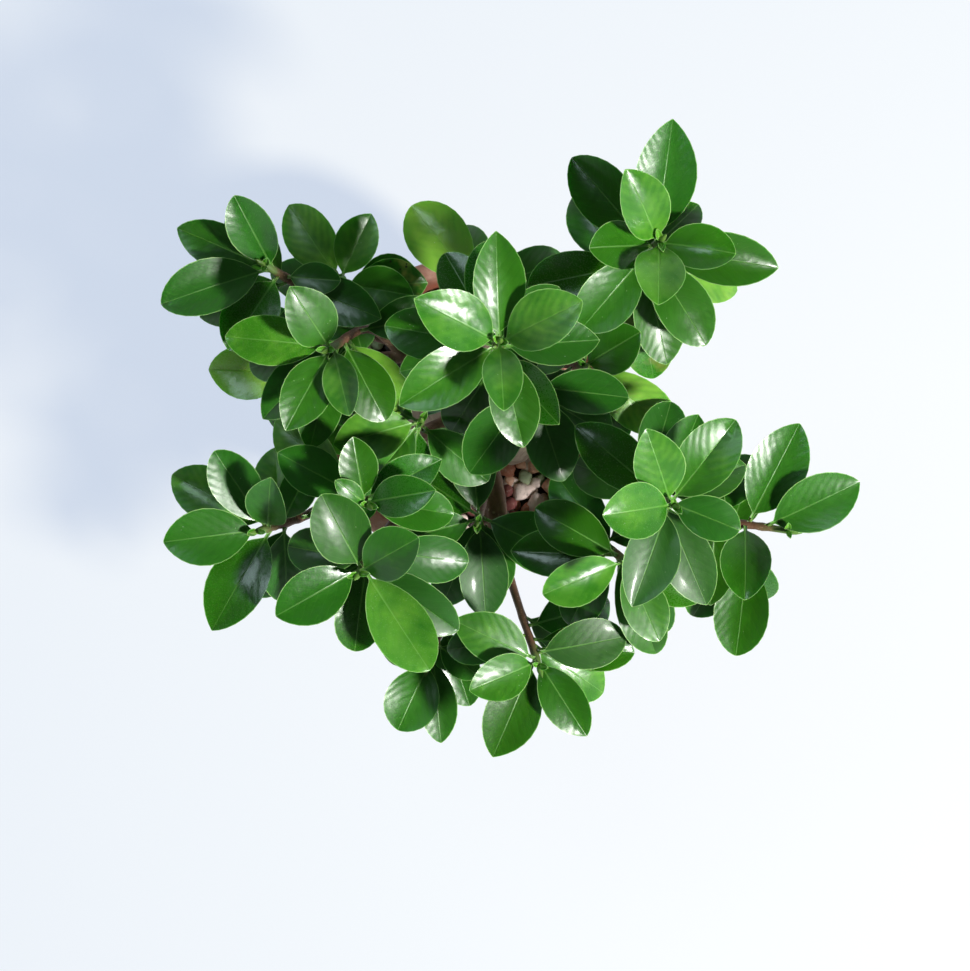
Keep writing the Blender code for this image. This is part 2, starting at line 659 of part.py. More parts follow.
def all_leaves(by_name, solid):
    """Every leaf of every shoot: first the listed ones, then more down each stem by the golden angle."""
    draw = random.Random(SEED)
    room = Room(solid)
    leaves = {shoot.name: [] for shoot in SHOOTS}
    for shoot in SHOOTS:
        line = stem_line(shoot, by_name)
        for row in shoot.leaves:
            leaf = new_leaf(draw, line, *row)
            if room.place(leaf, shoot.name, SEEN_TURNS):
                leaves[shoot.name].append(leaf)
    for shoot in SHOOTS:
        line = stem_line(shoot, by_name)
        below = max(row[0] for row in shoot.leaves)
        heading = shoot.leaves[-1][1]
        for number in range(shoot.more):
            below += LOWER_STEP_MM
            heading += GOLDEN_ANGLE
            rise = LOWER_RISE_DEGREES - LOWER_DROP_DEGREES * number
            length = draw.uniform(*LOWER_LENGTH_MM)
            leaf = new_leaf(draw, line, below, heading, rise, length, length * LOWER_WIDTH_SHARE)
            if room.place(leaf, shoot.name, LOWER_TURNS):
                leaves[shoot.name].append(leaf)
    return leaves


def make_tree(by_name):
    bark = principled("bark", (0.2, 0.13, 0.085), 0.8)
    meshes = []
    for root in ROOTS:
        line, radii = root_line(root)
        meshes.append(mesh_of(root, *tube(line, radii, TRUNK_SIDES)))
    for shoot in SHOOTS:
        meshes.append(mesh_of(shoot.name, *branch_tube(shoot, by_name)))
    tree = join_all("tree", meshes, bark)
    shade_round(tree, BARK_SHARP_DEGREES)


def make_shoots(by_name):
    green = principled("ficus leaf", (0.05, 0.16, 0.03), 0.28)
    solid = [("", tree_of(*branch_tube(shoot, by_name))) for shoot in SHOOTS]
    solid += [(shoot.name, tree_of(*stem_tube(shoot, by_name))) for shoot in SHOOTS]
    solid += [("", tree_of(*tube(*root_line(root), TRUNK_SIDES))) for root in ROOTS]
    leaves = all_leaves(by_name, solid)
    for shoot in SHOOTS:
        meshes = [mesh_of(shoot.name, *stem_tube(shoot, by_name))]
        meshes += [mesh_of("leaf", *leaf_solid(leaf)) for leaf in leaves[shoot.name]]
        stem = join_all(shoot.name, meshes, green)
        shade_round(stem)


def main():
    clear_scene()
    by_name = {shoot.name: shoot for shoot in SHOOTS}
    holes = [root_hole(root) for root in ROOTS]
    make_pot()
    make_soil(holes)
    make_gravel(holes)
    make_tree(by_name)
    make_shoots(by_name)


if __name__ == "__main__":
    main()
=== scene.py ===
# %% [markdown]
# # A small fig tree in a round clay pot
# The real object is a ficus grown as a bonsai: swollen roots stand like a trunk in a red-brown clay
# pot, mixed pebbles cover the earth, and thin brown branches carry loose shoots of thick, glossy
# leaves. It is seen straight from above. The solids of the pot, the earth, the wood and every
# shoot are already in the frame, so this lesson puts a finer skin over each of them.

# %% Load the solids
import json
import math
import random
from collections import namedtuple

import bmesh
import bpy
from mathutils import Matrix, Vector, noise
from mathutils.kdtree import KDTree

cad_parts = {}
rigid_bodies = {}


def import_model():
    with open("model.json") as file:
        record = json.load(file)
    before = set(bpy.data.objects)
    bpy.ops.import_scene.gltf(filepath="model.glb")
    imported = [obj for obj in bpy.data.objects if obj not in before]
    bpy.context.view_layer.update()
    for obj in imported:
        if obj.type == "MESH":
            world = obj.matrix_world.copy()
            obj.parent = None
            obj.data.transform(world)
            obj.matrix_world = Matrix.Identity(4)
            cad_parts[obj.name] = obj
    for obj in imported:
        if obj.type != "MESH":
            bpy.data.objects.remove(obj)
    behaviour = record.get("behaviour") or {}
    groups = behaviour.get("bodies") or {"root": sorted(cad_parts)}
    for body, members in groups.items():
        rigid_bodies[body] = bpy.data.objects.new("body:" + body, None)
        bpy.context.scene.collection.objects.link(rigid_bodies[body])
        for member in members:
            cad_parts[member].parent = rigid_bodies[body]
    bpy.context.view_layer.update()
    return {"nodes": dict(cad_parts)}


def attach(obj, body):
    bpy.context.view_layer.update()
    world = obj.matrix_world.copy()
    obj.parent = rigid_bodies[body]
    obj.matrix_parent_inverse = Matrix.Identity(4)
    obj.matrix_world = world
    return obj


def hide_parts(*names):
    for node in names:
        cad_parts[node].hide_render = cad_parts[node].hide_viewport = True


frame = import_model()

MM = 0.001
UP = Vector((0, 0, 1))
print("solids:", sorted(frame["nodes"]))

# %% [markdown]
# ## Camera, floor and light
# The photograph looks straight down from about a metre up. A long lens at that height gives the
# right growth of the upper leaves against the pot's rim.

# %% Camera
EYE = Vector((0.0088, -0.0321, 1.0))
LENS = 77.9
SENSOR_WIDTH = 36
NEAR_CLIP = 0.01

bpy.ops.object.select_all(action="DESELECT")
bpy.ops.object.camera_add(location=EYE, rotation=(0, 0, 0))
camera = bpy.context.object
camera.name = "camera_overhead"
camera.data.lens = LENS
camera.data.sensor_width = SENSOR_WIDTH
camera.data.clip_start = NEAR_CLIP
bpy.context.scene.camera = camera
bpy.context.scene.view_settings.view_transform = "Standard"

# %% [markdown]
# Each finish below is a small sum over a few textures. The class here wraps one output socket, so
# that such a sum can be written as plain arithmetic, and each sign adds one Math node. A second
# class holds a material and adds every other node by one method.

# %% Shader sums
def set_ramp(node, stops):
    """Gives a colour ramp its stops, as (place, colour) pairs."""
    elements = node.color_ramp.elements
    while len(elements) > len(stops):
        elements.remove(elements[-1])
    while len(elements) < len(stops):
        elements.new(1)
    for element, (place, colour) in zip(elements, stops):
        element.position = place
        element.color = (*colour, 1)


def sign(operation, turned=False):
    """What a sign such as + does to a wire: it adds one Math node."""

    def add_node(wire, other):
        return wire.sum(operation, *((other, wire) if turned else (wire, other)))

    return add_node


class Wire:
    """One output socket. Arithmetic on it adds Math nodes."""

    def __init__(self, finish, socket):
        self.finish = finish
        self.socket = socket

    def sum(self, operation, *values):
        return self.finish.node("Math", {"operation": operation}, dict(enumerate(values)))

    __add__ = __radd__ = sign("ADD")
    __mul__ = __rmul__ = sign("MULTIPLY")
    __sub__ = sign("SUBTRACT")
    __rsub__ = sign("SUBTRACT", turned=True)
    __truediv__ = sign("DIVIDE")

    def size(self):
        return self.sum("ABSOLUTE", self)

    def part(self):
        """What is left after the decimal point."""
        return self.sum("FRACT", self)

    def rise(self, low, high):
        """0 below low, 1 above high, and smooth between. With low above high it falls instead."""
        turned = low > high
        low, high = sorted((low, high))
        values = {"Value": self, "From Min": low, "From Max": high}
        settings = {"interpolation_type": "SMOOTHSTEP"}
        ramp = self.finish.node("MapRange", settings, values)
        return 1 - ramp if turned else ramp


class Finish:
    """A material whose nodes are added by name."""

    def __init__(self, name, **constants):
        self.material = bpy.data.materials.new(name)
        self.material.use_nodes = True
        self.tree = self.material.node_tree
        self.shader = self.tree.nodes["Principled BSDF"]
        for socket, value in constants.items():
            self.shader.inputs[socket.replace("_", " ")].default_value = value

    def node(self, kind, settings=None, inputs=None, output=0):
        """Adds a node, sets it, and links or fills its inputs."""
        made = self.tree.nodes.new("ShaderNode" + kind)
        for key, value in (settings or {}).items():
            if key == "stops":
                set_ramp(made, value)
            else:
                setattr(made, key, value)
        for key, value in (inputs or {}).items():
            if isinstance(value, Wire):
                self.tree.links.new(value.socket, made.inputs[key])
            else:
                made.inputs[key].default_value = value
        return Wire(self, made.outputs[output])

    def place(self, stretch=None):
        """Where on the piece a point is, in metres, scaled by a stretch if one is given."""
        place = self.node("TexCoord", output="Object")
        return self.node("Mapping", None, {"Vector": place, "Scale": stretch}) if stretch else place

    def value(self, name):
        """A number that the piece's mesh carries at each point."""
        return self.node("Attribute", {"attribute_name": name}, output="Fac")

    def noise(self, scale, detail=2.0, rough=0.5, stretch=None):
        place = self.place(stretch)
        values = {"Vector": place, "Scale": scale, "Detail": detail, "Roughness": rough}
        return self.node("TexNoise", None, values)

    def cells(self, scale, stretch=None):
        """The distance to the nearest of many strewn points, for crumbs, pores and specks."""
        return self.node("TexVoronoi", None, {"Vector": self.place(stretch), "Scale": scale})

    def mix(self, share, first, second):
        """From the first colour to the second, by a share from 0 to 1."""
        colours = {6: first, 7: second}
        for key, colour in colours.items():
            if not isinstance(colour, Wire):
                colours[key] = (*colour, 1)
        return self.node("Mix", {"data_type": "RGBA"}, {0: share, **colours}, output=2)

    def give(self, socket, wire):
        self.tree.links.new(wire.socket, self.shader.inputs[socket])

    def colour(self, wire):
        self.give("Base Color", wire)

    def roughness(self, wire):
        self.give("Roughness", wire)

    def relief(self, height, depth):
        """Bump from a height between 0 and 1, that stands for so many metres."""
        values = {"Height": height, "Strength": 1.0, "Distance": depth}
        self.give("Normal", self.node("Bump", None, values))


# %% [markdown]
# Every piece is made with the same few steps: hold a thing, add a modifier and apply it, smooth it,
# put a copy into the scene, and note a number at each of its points.

# %% Small helpers
def hold(thing):
    """Selects this one thing and nothing else."""
    bpy.ops.object.select_all(action="DESELECT")
    thing.select_set(True)
    bpy.context.view_layer.objects.active = thing


def finish_with(thing, kind, **settings):
    """Adds a modifier of this kind and applies it."""
    hold(thing)
    modifier = thing.modifiers.new(kind.lower(), kind)
    for key, value in settings.items():
        setattr(modifier, key, value)
    bpy.ops.object.modifier_apply(modifier=modifier.name)


def smooth_by(thing, degrees):
    hold(thing)
    bpy.ops.object.shade_smooth_by_angle(angle=math.radians(degrees))


def stand(name, data):
    """Puts a mesh or a curve into the scene as an object."""
    thing = bpy.data.objects.new(name, data)
    bpy.context.scene.collection.objects.link(thing)
    return thing


def note(mesh, name, numbers):
    """Writes one number at each point of a mesh, for its finish to read."""
    mesh.attributes.new(name, "FLOAT", "POINT").data.foreach_set("value", numbers)


# %% [markdown]
# Glossy leaves mirror what stands round them, so the light is set for that. A small bright lamp at
# the lower right gives crisp gleams and crisp shadows of leaf on leaf. A wider, dim, bluish one at
# the upper left adds a second sheen. The world is bright at eye height and dim overhead, so blades
# that face up stay deep green and tilted ones turn pale. The floor glows faintly, which keeps the
# shade on it pale blue.

# %% Floor and light
FLOOR_HALF = 20.0
FLOOR_DROP = 0.0005
KEY_SIDE = Vector((0.87, -0.49, 1.08)).normalized()
KEY_DISTANCE = 1.6
FILL_PLACE = Vector((-0.9, 0.75, 1.8))
LAMP_AIM = Vector((0, 0, 0.15))
WORLD_FADE = {"From Min": 0.05, "From Max": 0.6, "To Min": 0.78, "To Max": 0.03}

bpy.ops.mesh.primitive_plane_add(size=2 * FLOOR_HALF, location=(0, 0, -FLOOR_DROP))
floor = bpy.context.object
floor.name = "studio_floor"
white = Finish(
    "floor white",
    Base_Color=(0.25, 0.22, 0.14, 1),
    Roughness=0.9,
    Emission_Color=(0.71, 0.81, 1.0, 1),
    Emission_Strength=0.79,
)
floor.data.materials.append(white.material)


def lamp(name, place, size, watts, tint):
    bpy.ops.object.light_add(type="AREA", location=place)
    light = bpy.context.object
    light.name = name
    light.data.shape = "DISK"
    light.data.size = size
    light.data.energy = watts
    light.data.color = tint
    light.rotation_mode = "QUATERNION"
    light.rotation_quaternion = (place - LAMP_AIM).to_track_quat("Z", "Y")


lamp("key_lamp", KEY_SIDE * KEY_DISTANCE, size=0.17, watts=37, tint=(1.0, 0.985, 0.95))
lamp("fill_lamp", FILL_PLACE, size=0.65, watts=6.5, tint=(0.74, 0.95, 1.0))


def make_world():
    """White all round at eye height, fading upward until it is dim overhead."""
    world = bpy.data.worlds.new("studio")
    world.use_nodes = True
    tree = world.node_tree
    place = tree.nodes.new("ShaderNodeTexCoord")
    parts = tree.nodes.new("ShaderNodeSeparateXYZ")
    fade = tree.nodes.new("ShaderNodeMapRange")
    for socket, number in WORLD_FADE.items():
        fade.inputs[socket].default_value = number
    sky = tree.nodes["Background"]
    sky.inputs["Color"].default_value = (0.94, 0.97, 1.0, 1)
    tree.links.new(place.outputs["Generated"], parts.inputs["Vector"])
    tree.links.new(parts.outputs["Z"], fade.inputs["Value"])
    tree.links.new(fade.outputs["Result"], sky.inputs["Strength"])
    bpy.context.scene.world = world


make_world()

# %% [markdown]
# ## Sizes
# These are the sizes that the solids were made with, so that every fine piece lies where its solid
# lies. The pot is a usual 13 cm one.

# %% Sizes
GAP = 0.3 * MM
POT_HEIGHT = 105 * MM
RIM_RADIUS = 65 * MM
RIM_BAND = 13 * MM
BAND_STEP = 3 * MM
BASE_RADIUS = 47 * MM
WALL = 4.5 * MM
FLOOR = 8 * MM
SOIL_TOP = 86 * MM
GRAVEL_TOP = 93 * MM
ROOT_DEPTH = 20 * MM
ROOT_COLLAR = 2 * MM


def inner_radius(height):
    """Radius of the pot's tapered inner wall."""
    top = RIM_RADIUS - BAND_STEP - WALL
    bottom = BASE_RADIUS - WALL
    return bottom + (top - bottom) * (height - FLOOR) / (POT_HEIGHT - FLOOR)


# %% [markdown]
# ## The clay pot
# A real pot like this is turned or pressed: a tapered wall, a thicker band round the rim, and holes
# in the floor. It could be a Screw modifier on a profile. Here it is grown from a flat disc, as a
# potter raises clay: each extrusion lifts the top face a step and scales it, up the outside, over
# the rim and down inside. The edges are then bevelled, and three drills make the drain holes.

# %% Pot shape
POT_SIDES = 128
FOOT_BEVEL = 1 * MM
DRAIN_RADIUS = 5 * MM
DRAIN_CIRCLE = 26 * MM
DRAINS = 3


def raise_face(start, steps):
    """Extrudes the selected face through (radius, height) steps."""
    radius, height = start
    for new_radius, new_height in steps:
        lift = (0, 0, new_height - height)
        bpy.ops.mesh.extrude_region_move(TRANSFORM_OT_translate={"value": lift})
        share = new_radius / radius
        bpy.ops.transform.resize(value=(share, share, 1))
        radius, height = new_radius, new_height


def make_pot():
    wall_top = RIM_RADIUS - BAND_STEP
    band = POT_HEIGHT - RIM_BAND
    slope = (wall_top - BASE_RADIUS) / POT_HEIGHT
    base = BASE_RADIUS - FOOT_BEVEL
    bpy.ops.mesh.primitive_circle_add(vertices=POT_SIDES, radius=base, fill_type="NGON")
    pot = bpy.context.object
    pot.name = "clay_pot"
    bpy.ops.object.mode_set(mode="EDIT")
    bpy.ops.mesh.select_all(action="SELECT")
    steps = [(BASE_RADIUS, FOOT_BEVEL)]
    steps += [(BASE_RADIUS + slope * z * MM, z * MM) for z in (20, 40, 60, 80)]
    steps += [
        (BASE_RADIUS + slope * band, band),
        (RIM_RADIUS - 0.6 * MM, band + 0.4 * MM),
        (RIM_RADIUS, band + 2 * MM),
        (RIM_RADIUS, POT_HEIGHT - 2.5 * MM),
        (RIM_RADIUS - 0.8 * MM, POT_HEIGHT - 0.8 * MM),
        (RIM_RADIUS - 2.5 * MM, POT_HEIGHT),
        (inner_radius(POT_HEIGHT) + 2.2 * MM, POT_HEIGHT),
        (inner_radius(POT_HEIGHT) + 0.5 * MM, POT_HEIGHT - 0.8 * MM),
        (inner_radius(POT_HEIGHT - 3 * MM), POT_HEIGHT - 3 * MM),
        (inner_radius(SOIL_TOP), SOIL_TOP),
        (inner_radius(FLOOR), FLOOR),
    ]
    raise_face((base, 0), steps)
    bpy.ops.mesh.select_all(action="SELECT")
    bpy.ops.mesh.normals_make_consistent(inside=False)
    bpy.ops.object.mode_set(mode="OBJECT")
    for number in range(DRAINS):
        turn = math.tau * number / DRAINS
        place = (DRAIN_CIRCLE * math.cos(turn), DRAIN_CIRCLE * math.sin(turn), 0)
        bpy.ops.mesh.primitive_cylinder_add(radius=DRAIN_RADIUS, depth=4 * FLOOR, location=place)
        drill = bpy.context.object
        finish_with(pot, "BOOLEAN", operation="DIFFERENCE", solver="EXACT", object=drill)
        bpy.data.objects.remove(drill)
    finish_with(pot, "BEVEL", width=0.5 * MM, segments=2, limit_method="ANGLE")
    smooth_by(pot, degrees=35)
    return pot


pot = make_pot()
print("pot faces:", len(pot.data.polygons))

# %% [markdown]
# Fired clay is matt and never one flat red. It has a faint mottle from the kiln, fine turning lines
# round the wall, a sandy grain, and a pale bloom of lime where water dries, near the rim and the
# foot. The lines are a wave on height alone, bent a little by noise.

# %% Clay finish
def clay_finish():
    clay = Finish("fired clay", Roughness=0.75, IOR=1.4)
    height = clay.node("SeparateXYZ", None, {0: clay.place()}, output=2)
    mottle = clay.noise(38, 4, 0.6).rise(0.25, 0.75)
    body = clay.mix(mottle, (0.27, 0.088, 0.054), (0.36, 0.128, 0.078))
    bloom_low = (height + clay.noise(60, 3) * 0.02).rise(0.034, 0.016)
    bloom_high = (height + clay.noise(45, 3) * 0.016).rise(0.1, 0.113)
    patches = clay.noise(85, 5, 0.65).rise(0.45, 0.72)
    bloom = (bloom_low * 0.6 + bloom_high * 0.85) * (0.35 + patches * 0.65)
    sand = clay.noise(1400, 2).rise(0.62, 0.75) * 0.35
    powdered = clay.mix(bloom, body, (0.62, 0.42, 0.33))
    clay.colour(clay.mix(sand, powdered, (0.12, 0.05, 0.04)))
    rings = ((height * 900 + clay.noise(9, 2) * 6) * 0.5).part().rise(0.1, 0.6)
    grain = clay.noise(900, 3, 0.6)
    clay.relief(grain * 0.6 + rings * 0.12 + clay.noise(150, 2) * 0.5, 0.35 * MM)
    clay.roughness(0.68 + bloom * 0.25)
    return clay.material


pot.data.materials.append(clay_finish())
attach(pot, "root")
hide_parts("pot")

# %% [markdown]
# ## Earth
# The earth shows only in chinks between the pebbles, so its solid is right as it is and only gets a
# better finish: dark, crumbly and dull.

# %% Earth finish
earth = Finish("potting earth", Roughness=0.95)
crumbs = earth.cells(420)
earth.colour(earth.mix(crumbs.rise(0.1, 0.6), (0.02, 0.012, 0.008), (0.07, 0.045, 0.03)))
earth.relief(crumbs + earth.noise(900, 3) * 0.5, 1.2 * MM)
soil = frame["nodes"]["soil"]
soil.data.materials.clear()
soil.data.materials.append(earth.material)

# %% [markdown]
# ## Wood: where the roots, branches and shoots run
# The tree grew as one piece: four swollen roots join in a short trunk, which forks into thin
# branches. The lines below are the same ones the solids follow. Each shoot's branch runs from a
# fork through its bend to its foot, and its green stem runs on to the tip. A leaf is given as mm
# below the tip, heading from +X, rise, length and width, angles in degrees. A shoot's share says
# how far along its parent, or between the trunk's two forks, its branch starts, and its last number
# how many more leaves follow down its stem by rule. A root is its peg in the earth (x, y, radius),
# then the points of its free part (x, y, radius, height).

# %% Lines of growth
ROOTS = {
    "heart": (
        (0, 2, 14),
        (1, 3, 17.5, 112), (3, 2, 18, 128), (5, 0, 13.5, 146), (4, -3, 8.5, 160), (4, -4, 4, 169)),
    "front": (
        (19, -13, 8), (20, -13, 10.5, 108), (15, -9, 11, 124), (8, -4, 9, 142), (5, -2, 4, 152)),
    "left": (
        (-22, -8, 7.5),
        (-21, -7, 10, 107), (-14, -3, 10.5, 123), (-5, -1, 8, 141), (1, -1, 4, 151)),
    "back": ((3, 24, 7), (3, 22, 9.5, 108), (4, 14, 10, 124), (5, 6, 8, 142), (4, 1, 4, 152)),
}
Shoot = namedtuple("Shoot", "name parent share bend foot tip leaves more")
TRUNK_FORKS = ((4, 0, 147), (4, -4, 165))
SHOOTS = (
    Shoot("shoot_crown", "", 1, (10, 4, 186), (12, 12, 216), (14, 18, 268), (
        (3, 92, 16, 40, 20), (4, 212, 5, 42, 21), (2, 155, 25, 38, 21), (3, 25, 22, 36, 21),
        (1, 273, 36, 31, 15), (9, 98, -3, 38, 19), (8, 170, 0, 41, 20), (10, 284, -5, 37, 19),
        (11, 4, -2, 36, 18), (14, 119, -8, 40, 18), (16, 192, -12, 37, 19),
        (21, 47, -14, 34, 18)), 5),
    Shoot("shoot_back_right", "", 0.55, (30, 18, 180), (54, 40, 206), (71, 55, 252), (
        (4, 83, 12, 45, 23), (2, 120, 42, 36, 20), (1, 266, 38, 31, 19), (2, 349, 30, 30, 18),
        (5, 186, 32, 29, 19), (8, 352, -3, 47, 21), (9, 130, -2, 44, 22), (11, 229, -4, 37, 21),
        (12, 303, -3, 40, 21), (17, 285, -16, 41, 20), (20, 44, -15, 33, 16),
        (23, 190, -18, 42, 21), (26, 283, -24, 45, 21), (19, 346, -24, 43, 19)), 3),
    Shoot("shoot_right", "", 0.3, (34, -14, 178), (62, -30, 204), (76, -39, 252), (
        (3, 112, 38, 36, 19), (4, 53, 16, 39, 22), (1, 188, 36, 33, 21), (5, 250, 5, 40, 22),
        (7, 338, 8, 28, 17), (9, 140, -2, 43, 20), (12, 67, -6, 34, 19), (14, 294, -12, 44, 20),
        (17, 20, -14, 36, 19)), 3),
    Shoot("shoot_far_right", "shoot_right", 0.72, (68, -32, 192), (88, -43, 201), (122, -49, 212), (
        (9, 26, 12, 40, 22), (15, 64, 10, 43, 23), (16, 265, 34, 34, 20),
        (22, 130, -10, 34, 19)), 2),
    Shoot("shoot_right_edge", "shoot_right", 0.66,
          (70, -42, 180), (91, -51, 184), (112, -57, 196), (
        (3, 264, -2, 42, 22), (6, 296, -36, 30, 18), (8, 240, -12, 33, 18),
        (12, 70, -20, 33, 18)), 1),
    Shoot("shoot_right_front", "shoot_right", 0.45,
          (44, -36, 178), (50, -50, 190), (62, -61, 222), (
        (4, 202, 12, 34, 19), (6, 294, 0, 34, 18), (8, 150, -4, 37, 20), (10, 178, -10, 41, 20),
        (12, 127, -12, 39, 19), (13, 293, -18, 45, 19), (15, 332, -12, 39, 19),
        (17, 306, -22, 43, 18), (20, 245, -20, 36, 19)), 1),
    Shoot("shoot_right_inner", "shoot_back_right", 0.5,
          (38, 16, 186), (42, 14, 196), (46, 12, 222), (
        (3, 30, 28, 30, 20), (5, 77, -4, 34, 19), (8, 332, -16, 46, 21),
        (10, 300, -14, 36, 19)), 2),
    Shoot("shoot_middle", "", 0.85, (16, -2, 182), (22, 2, 204), (27, 4, 240), (
        (4, 353, 6, 35, 18), (7, 289, -12, 37, 21), (10, 234, -14, 40, 22),
        (13, 330, -16, 37, 20)), 1),
    Shoot("shoot_left_high", "", 0.7, (-16, 12, 180), (-34, 27, 204), (-48, 17, 240), (
        (2, 122, 40, 32, 20), (4, 175, 8, 39, 19), (3, 243, 18, 36, 19), (5, 285, 30, 31, 14),
        (8, 225, -4, 39, 19), (10, 254, -8, 41, 17), (14, 298, -6, 34, 19), (16, 195, -24, 42, 20),
        (18, 306, -22, 37, 19), (20, 268, -22, 38, 20), (22, 235, -26, 40, 18)), 2),
    Shoot("shoot_back_left", "", 0.2, (-22, 20, 172), (-38, 34, 184), (-47, 47, 206), (
        (4, 124, -2, 36, 20), (3, 64, 10, 28, 18), (5, 350, 6, 28, 20), (8, 4, -8, 32, 21),
        (7, 285, -6, 27, 17), (11, 22, -18, 29, 18)), 2),
    Shoot("shoot_back", "", 0.0, (4, 20, 168), (3, 33, 176), (7, 46, 190), (
        (3, 129, -4, 42, 25), (4, 20, -14, 38, 21), (6, 100, -24, 32, 18)), 2),
    Shoot("shoot_left_edge", "shoot_left_high", 0.6,
          (-38, 16, 186), (-48, 12, 186), (-62, 11, 198), (
        (3, 178, -6, 38, 23), (5, 238, -8, 29, 18), (7, 130, -10, 34, 19),
        (9, 290, -12, 35, 19)), 1),
    Shoot("shoot_far_left", "shoot_back_left", 0.62,
          (-42, 30, 184), (-56, 40, 204), (-72, 49, 226), (
        (2, 157, 2, 37, 18), (3, 200, 8, 43, 22), (5, 116, 40, 36, 18), (8, 238, 18, 35, 22),
        (13, 134, -6, 34, 19), (11, 355, 12, 22, 13), (15, 200, -14, 39, 20)), 1),
    Shoot("shoot_left_middle", "", 0.5, (-20, -14, 176), (-46, -27, 203), (-34, -39, 235), (
        (3, 98, 28, 27, 15), (5, 27, 4, 33, 17), (2, 10, 26, 30, 16), (1, 142, 35, 17, 8),
        (7, 350, -6, 35, 18), (14, 152, 2, 32, 19), (17, 138, -14, 40, 20)), 2),
    Shoot("shoot_left_low", "shoot_left_middle", 0.75,
          (-46, -34, 196), (-58, -43, 206), (-75, -49, 226), (
        (3, 187, 10, 37, 22), (5, 122, 20, 36, 19), (6, 80, 52, 31, 18), (8, 240, 5, 45, 23),
        (9, 154, -8, 44, 22), (12, 96, -14, 33, 18), (13, 62, -8, 26, 15), (14, 270, -26, 34, 19),
        (16, 247, -16, 36, 19)), 1),
    Shoot("shoot_front_left", "", 0.35, (-12, -28, 176), (-27, -47, 198), (-37, -64, 238), (
        (4, 116, 28, 35, 23), (5, 209, 8, 36, 21), (2, 30, 28, 31, 20), (6, 303, 3, 45, 23),
        (9, 324, -6, 43, 20), (11, 262, -12, 35, 19), (13, 171, -8, 31, 19),
        (16, 215, -20, 36, 19)), 2),
    Shoot("shoot_front", "", 0.1, (14, -36, 166), (17, -62, 174), (29, -100, 206), (
        (3, 154, 12, 36, 20), (2, 201, 14, 31, 18), (4, 247, -4, 42, 22), (4, 303, 4, 36, 18),
        (6, 10, 4, 36, 20), (19, 14, -6, 40, 22), (11, 324, -22, 38, 21), (13, 352, -16, 41, 20),
        (15, 192, -14, 33, 17)), 1),
    Shoot("shoot_front_low", "shoot_front", 0.5, (4, -52, 166), (-6, -80, 166), (-13, -102, 176), (
        (2, 245, 8, 31, 22), (5, 275, -8, 37, 16), (7, 185, -14, 22, 13), (9, 322, -6, 22, 13),
        (13, 150, -10, 32, 17)), 1),
    Shoot("shoot_inner_left", "shoot_left_middle", 0.35,
          (-16, -12, 180), (-17, -11, 188), (-15, -8, 218), (
        (3, 195, -2, 34, 20), (5, 230, -8, 33, 19), (7, 255, -10, 32, 19), (9, 320, -8, 34, 19),
        (6, 150, 0, 33, 18), (12, 60, -12, 35, 19)), 2),
    Shoot("shoot_inner_front", "shoot_front", 0.35, (8, -30, 170), (8, -38, 176), (6, -46, 196), (
        (3, 195, 4, 34, 18), (5, 274, -4, 40, 20), (7, 290, -18, 34, 18), (6, 335, -2, 42, 24),
        (4, 95, 2, 36, 20), (6, 146, -8, 35, 21), (9, 248, -18, 42, 19)), 0),
)

# %% [markdown]
# A Catmull-Rom curve passes through every given point, which suits growth that is noted as points.
# The stems of the solids were made with few steps a span. The fine ones take more steps of the same
# curve, but a side branch still starts at the same point of its parent.

# %% Curves of branches and stems
LINE_STEPS = 3
MAIN_BRANCH_RADIUS = 4.2 * MM
SIDE_BRANCH_RADIUS = 2.8 * MM
FOOT_RADIUS = 1.9 * MM
TIP_RADIUS = 1.35 * MM
BY_NAME = {shoot.name: shoot for shoot in SHOOTS}


def smooth_line(points, per_span):
    """A smooth curve through the given points, with a few steps between each two."""
    padded = [points[0] * 2 - points[1], *points, points[-1] * 2 - points[-2]]
    line = []
    for before, start, end, after in zip(padded, padded[1:], padded[2:], padded[3:]):
        for step in range(per_span):
            t = step / per_span
            square = (2 * before - 5 * start + 4 * end - after) * t**2
            cube = (3 * start - before - 3 * end + after) * t**3
            line.append(0.5 * (2 * start + (end - before) * t + square + cube))
    line.append(points[-1].copy())
    return line


def course(shoot, steps=LINE_STEPS):
    """The curve of a branch and its shoot, and how many of its points belong to the branch."""
    if shoot.parent:
        parent, count = course(BY_NAME[shoot.parent])
        start = parent[round((count - 1) * shoot.share)]
    else:
        start = Vector(TRUNK_FORKS[0]).lerp(Vector(TRUNK_FORKS[1]), shoot.share) * MM
    corners = [start, Vector(shoot.bend) * MM, Vector(shoot.foot) * MM, Vector(shoot.tip) * MM]
    return smooth_line(corners, steps), 2 * steps + 1


def foot_direction(line, count):
    """The way the wood grows where a branch ends and its shoot starts."""
    return (line[count] - line[count - 2]).normalized()


def branch_line(shoot, steps=LINE_STEPS):
    line, count = course(shoot, steps)
    part = line[:count]
    part[-1] = part[-1] - foot_direction(line, count) * GAP / 2
    thick = SIDE_BRANCH_RADIUS if shoot.parent else MAIN_BRANCH_RADIUS
    return part, [thick + (FOOT_RADIUS - thick) * n / (count - 1) for n in range(count)]


def stem_line(shoot, steps=LINE_STEPS):
    line, count = course(shoot, steps)
    part = line[count - 1 :]
    part[0] = part[0] + foot_direction(line, count) * GAP / 2
    return part


def root_line(root):
    """Middle line and radii of a swollen root: its upright peg in the soil, then its free part."""
    (x, y, peg), *rest = ROOTS[root]
    foot = Vector((x, y, 0)) * MM
    line = [foot + UP * (SOIL_TOP - ROOT_DEPTH), foot + UP * (GRAVEL_TOP + ROOT_COLLAR)]
    line += [Vector((x, y, z)) * MM for x, y, _, z in rest]
    return line, [peg * MM] * 2 + [radius * MM for _, _, radius, _ in rest]


